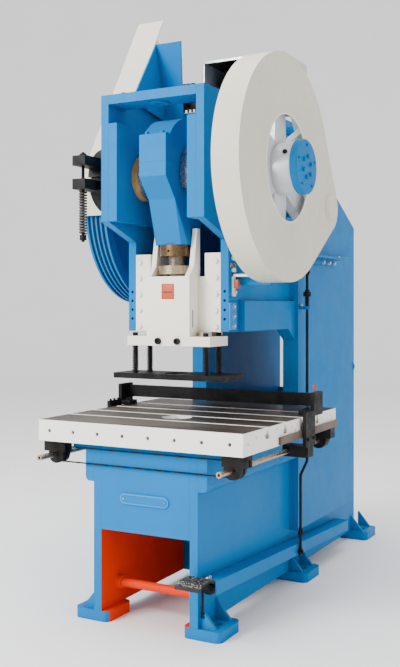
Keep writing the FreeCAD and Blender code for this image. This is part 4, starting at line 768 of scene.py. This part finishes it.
def rod_details():
    """The clevis and lock nut at the foot of the trip rod, and the nut on its stop collar."""
    bm = bmesh.new()
    x, y = 0.352, -0.130
    lathe(bm, [(0, 0), (0.012, 0), (0.012, 0.018), (0.009, 0.022), (0, 0.022)], (x, y, 0.254), "Z", 16)
    hex_bolt(bm, (x, y, 0.276), "Z", 0.012, 0.012, washer=False)
    hex_bolt(bm, (x, -0.040, 1.488), "Z", 0.013, 0.012, washer=False)
    put("rod_clevis", bm, "black_oxide", "trip_link")


def motor_details():
    """Cooling ribs on the motor, the rolled lip and screws of its hood, and bolts on the head."""
    centre_y, centre_z = 0.180, 2.627
    bm = bmesh.new()
    ribs = 28
    for step in range(ribs):
        turn = 2 * math.pi * step / ribs
        if math.sin(turn) < -0.75:
            continue
        place = Matrix.Translation((0, centre_y, centre_z)) @ Matrix.Rotation(turn, 4, "X")
        outline = [(-0.150, 0.108), (0.110, 0.108), (0.110, 0.1245), (-0.150, 0.1245)]
        slab(bm, outline, -0.0018, 0.0018, place)
    put("motor_ribs", bm, "black_oxide", "frame")
    hood_low, hood_high = span("motor_hood")
    bm = bmesh.new()
    for x in (hood_low.x + 0.02, hood_high.x - 0.02):
        for z in (hood_low.z + 0.03, hood_high.z - 0.03):
            lathe(bm, [(0, 0), (0.006, 0), (0.005, 0.003), (0, 0.004)], (x, hood_high.y, z), "Y", 14)
    lip_y, lip_z = hood_low.y - 0.004, hood_high.z - 0.014
    brick(bm, (hood_low.x, lip_y, lip_z), (hood_high.x, hood_low.y, hood_high.z), 0.0012)
    brick(bm, (hood_low.x, lip_y, hood_low.z), (hood_low.x + 0.012, hood_low.y, lip_z), 0.0012)
    put("hood_lip", bm, "galvanised", "frame")
    bm = bmesh.new()
    for x in (-0.17, 0.02, 0.16):
        hex_bolt(bm, (x, -0.97, span("cross_plates")[1].z), "Z", 0.012, 0.012)
    for x in (-0.10, 0.10):
        hex_bolt(bm, (x, 0.05, span("motor_mount")[1].z), "Z", 0.011, 0.010)
    put("head_bolts", bm, "black_oxide", "frame")


def coil(bm, centre, low, high, mean, wire, turns):
    """Adds a round-wire spring standing along Z, its end turns closed up."""
    steps = int(turns * 26)
    rings = []
    for step in range(steps + 1):
        share = step / steps
        angle = 2 * math.pi * turns * share
        ease = min(1.0, share * turns / 2) * min(1.0, (1 - share) * turns / 2)
        level = share * (0.6 + 0.4 * ease) if share < 0.5 else 1 - (1 - share) * (0.6 + 0.4 * ease)
        height = low + wire + (high - low - 2 * wire) * level
        out = Vector((math.cos(angle), math.sin(angle), 0))
        spot = Vector((centre[0], centre[1], height)) + out * mean
        rings.append(circle(bm, spot, out, Vector((0, 0, 1)), wire, 8))
    tube(bm, rings)


def springs():
    """Dense black coils over the stripper's guide bolts and the return coil on the trip rod."""
    low, high = span("stripper_springs")
    bm = bmesh.new()
    for x in (low.x + 0.0155, high.x - 0.0155):
        for y in (low.y + 0.0155, high.y - 0.0155):
            coil(bm, (x, y), low.z, high.z, 0.0122, 0.0030, 15)
    piece = put("stripper_coils", bm, "spring_black", "slide", smooth=60)
    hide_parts("stripper_springs")
    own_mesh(piece)
    low, high = span("rod_spring")
    bm = bmesh.new()
    coil(bm, ((low.x + high.x) / 2, (low.y + high.y) / 2), low.z, high.z, 0.0110, 0.0020, 7)
    piece = put("rod_coil", bm, "spring_black", "frame", smooth=60)
    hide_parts("rod_spring")
    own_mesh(piece)


def table_details():
    """Tapped holes along the sides of the table, as shallow dark cups whose black is painted shade inside
    the holes.
    """
    low, high = span("bolster_table")
    bm = bmesh.new()
    holes = (
        (-1.10, 0.852, 0.0055), (-1.02, 0.870, 0.004), (-0.93, 0.866, 0.0045), (-0.80, 0.880, 0.004),
        (-0.64, 0.872, 0.004), (-0.60, 0.850, 0.0045), (-0.26, 0.868, 0.004), (-0.14, 0.872, 0.004),
    )
    for x, axis in ((low.x, "-X"), (high.x, "X")):
        for y, z, hole in holes:
            rim = [(hole, -0.004), (hole, 0.0006), (hole * 0.8, 0.0006), (hole * 0.8, -0.003)]
            # painted shade: each dark cup stands for the shadow in a hole
            lathe(bm, [(0, -0.004)] + rim + [(0, -0.003)], (x, y, z), axis, 14)
    put("table_side_holes", bm, "dark_print_and_shade", "frame")


def stage():
    """A pale round floor whose far edge curves up on every side."""
    flat, bend, tall = 11.0, 4.0, 9.0
    profile = [(0, 0), (flat, 0)]
    profile += [(flat + bend * math.sin(math.radians(turn)), bend - bend * math.cos(math.radians(turn)))
                for turn in range(10, 91, 10)]
    profile.append((flat + bend, tall))
    bm = bmesh.new()
    lathe(bm, profile, (0, 0, 0), "Z", 64)
    mesh = bpy.data.meshes.new("floor")
    bm.to_mesh(mesh)
    bm.free()
    floor = bpy.data.objects.new("floor", mesh)
    bpy.context.scene.collection.objects.link(floor)
    for face in mesh.polygons:
        face.use_smooth = True
    mesh.materials.append(Finish("floor", (0.94, 0.94, 0.94), 0.9).mottle(1.5, 0.01).done())


def area_light(name, place, aim, size, power):
    data = bpy.data.lights.new(name, "AREA")
    data.shape = "RECTANGLE"
    data.size, data.size_y = size
    data.energy = power
    light = bpy.data.objects.new(name, data)
    light.location = place
    light.rotation_euler = (Vector(aim) - Vector(place)).to_track_quat("-Z", "Y").to_euler()
    bpy.context.scene.collection.objects.link(light)


def lights():
    """A white sky, a large soft key from the front left, a faint fill and a soft light above."""
    world = bpy.data.worlds.new("studio")
    world.use_nodes = True
    world.node_tree.nodes["Background"].inputs["Color"].default_value = (1.0, 1.0, 1.0, 1)
    world.node_tree.nodes["Background"].inputs["Strength"].default_value = 1.15
    bpy.context.scene.world = world
    area_light("key", (-2.6, -6.0, 4.2), (0, -0.4, 1.3), (3.0, 3.0), 620)
    area_light("fill", (5.5, -3.2, 2.6), (0, 0, 1.3), (3.0, 4.0), 20)
    area_light("top", (0, -0.5, 6.5), (0, -0.3, 1.0), (4.0, 4.0), 260)


def camera():
    """Level camera off the front right corner, with the lens shifted down."""
    data = bpy.data.cameras.new("camera")
    data.lens = 49.87
    data.sensor_width = 36
    data.shift_y = -0.0427
    data.clip_end = 60
    thing = bpy.data.objects.new("camera", data)
    thing.location = (2.127, -4.504, 1.420)
    thing.rotation_euler = (math.radians(90), 0, math.radians(28.3))
    bpy.context.scene.collection.objects.link(thing)
    bpy.context.scene.camera = thing


dress_nodes()
front_plates()
slide_details()
frame_welds()
guide_bracket()
column_fittings()
guard_trim()
hub_details()
pitman_details()
brake_details()
gauge_details()
chain_links()
treadle_details()
rod_details()
motor_details()
springs()
table_details()
stage()
lights()
camera()
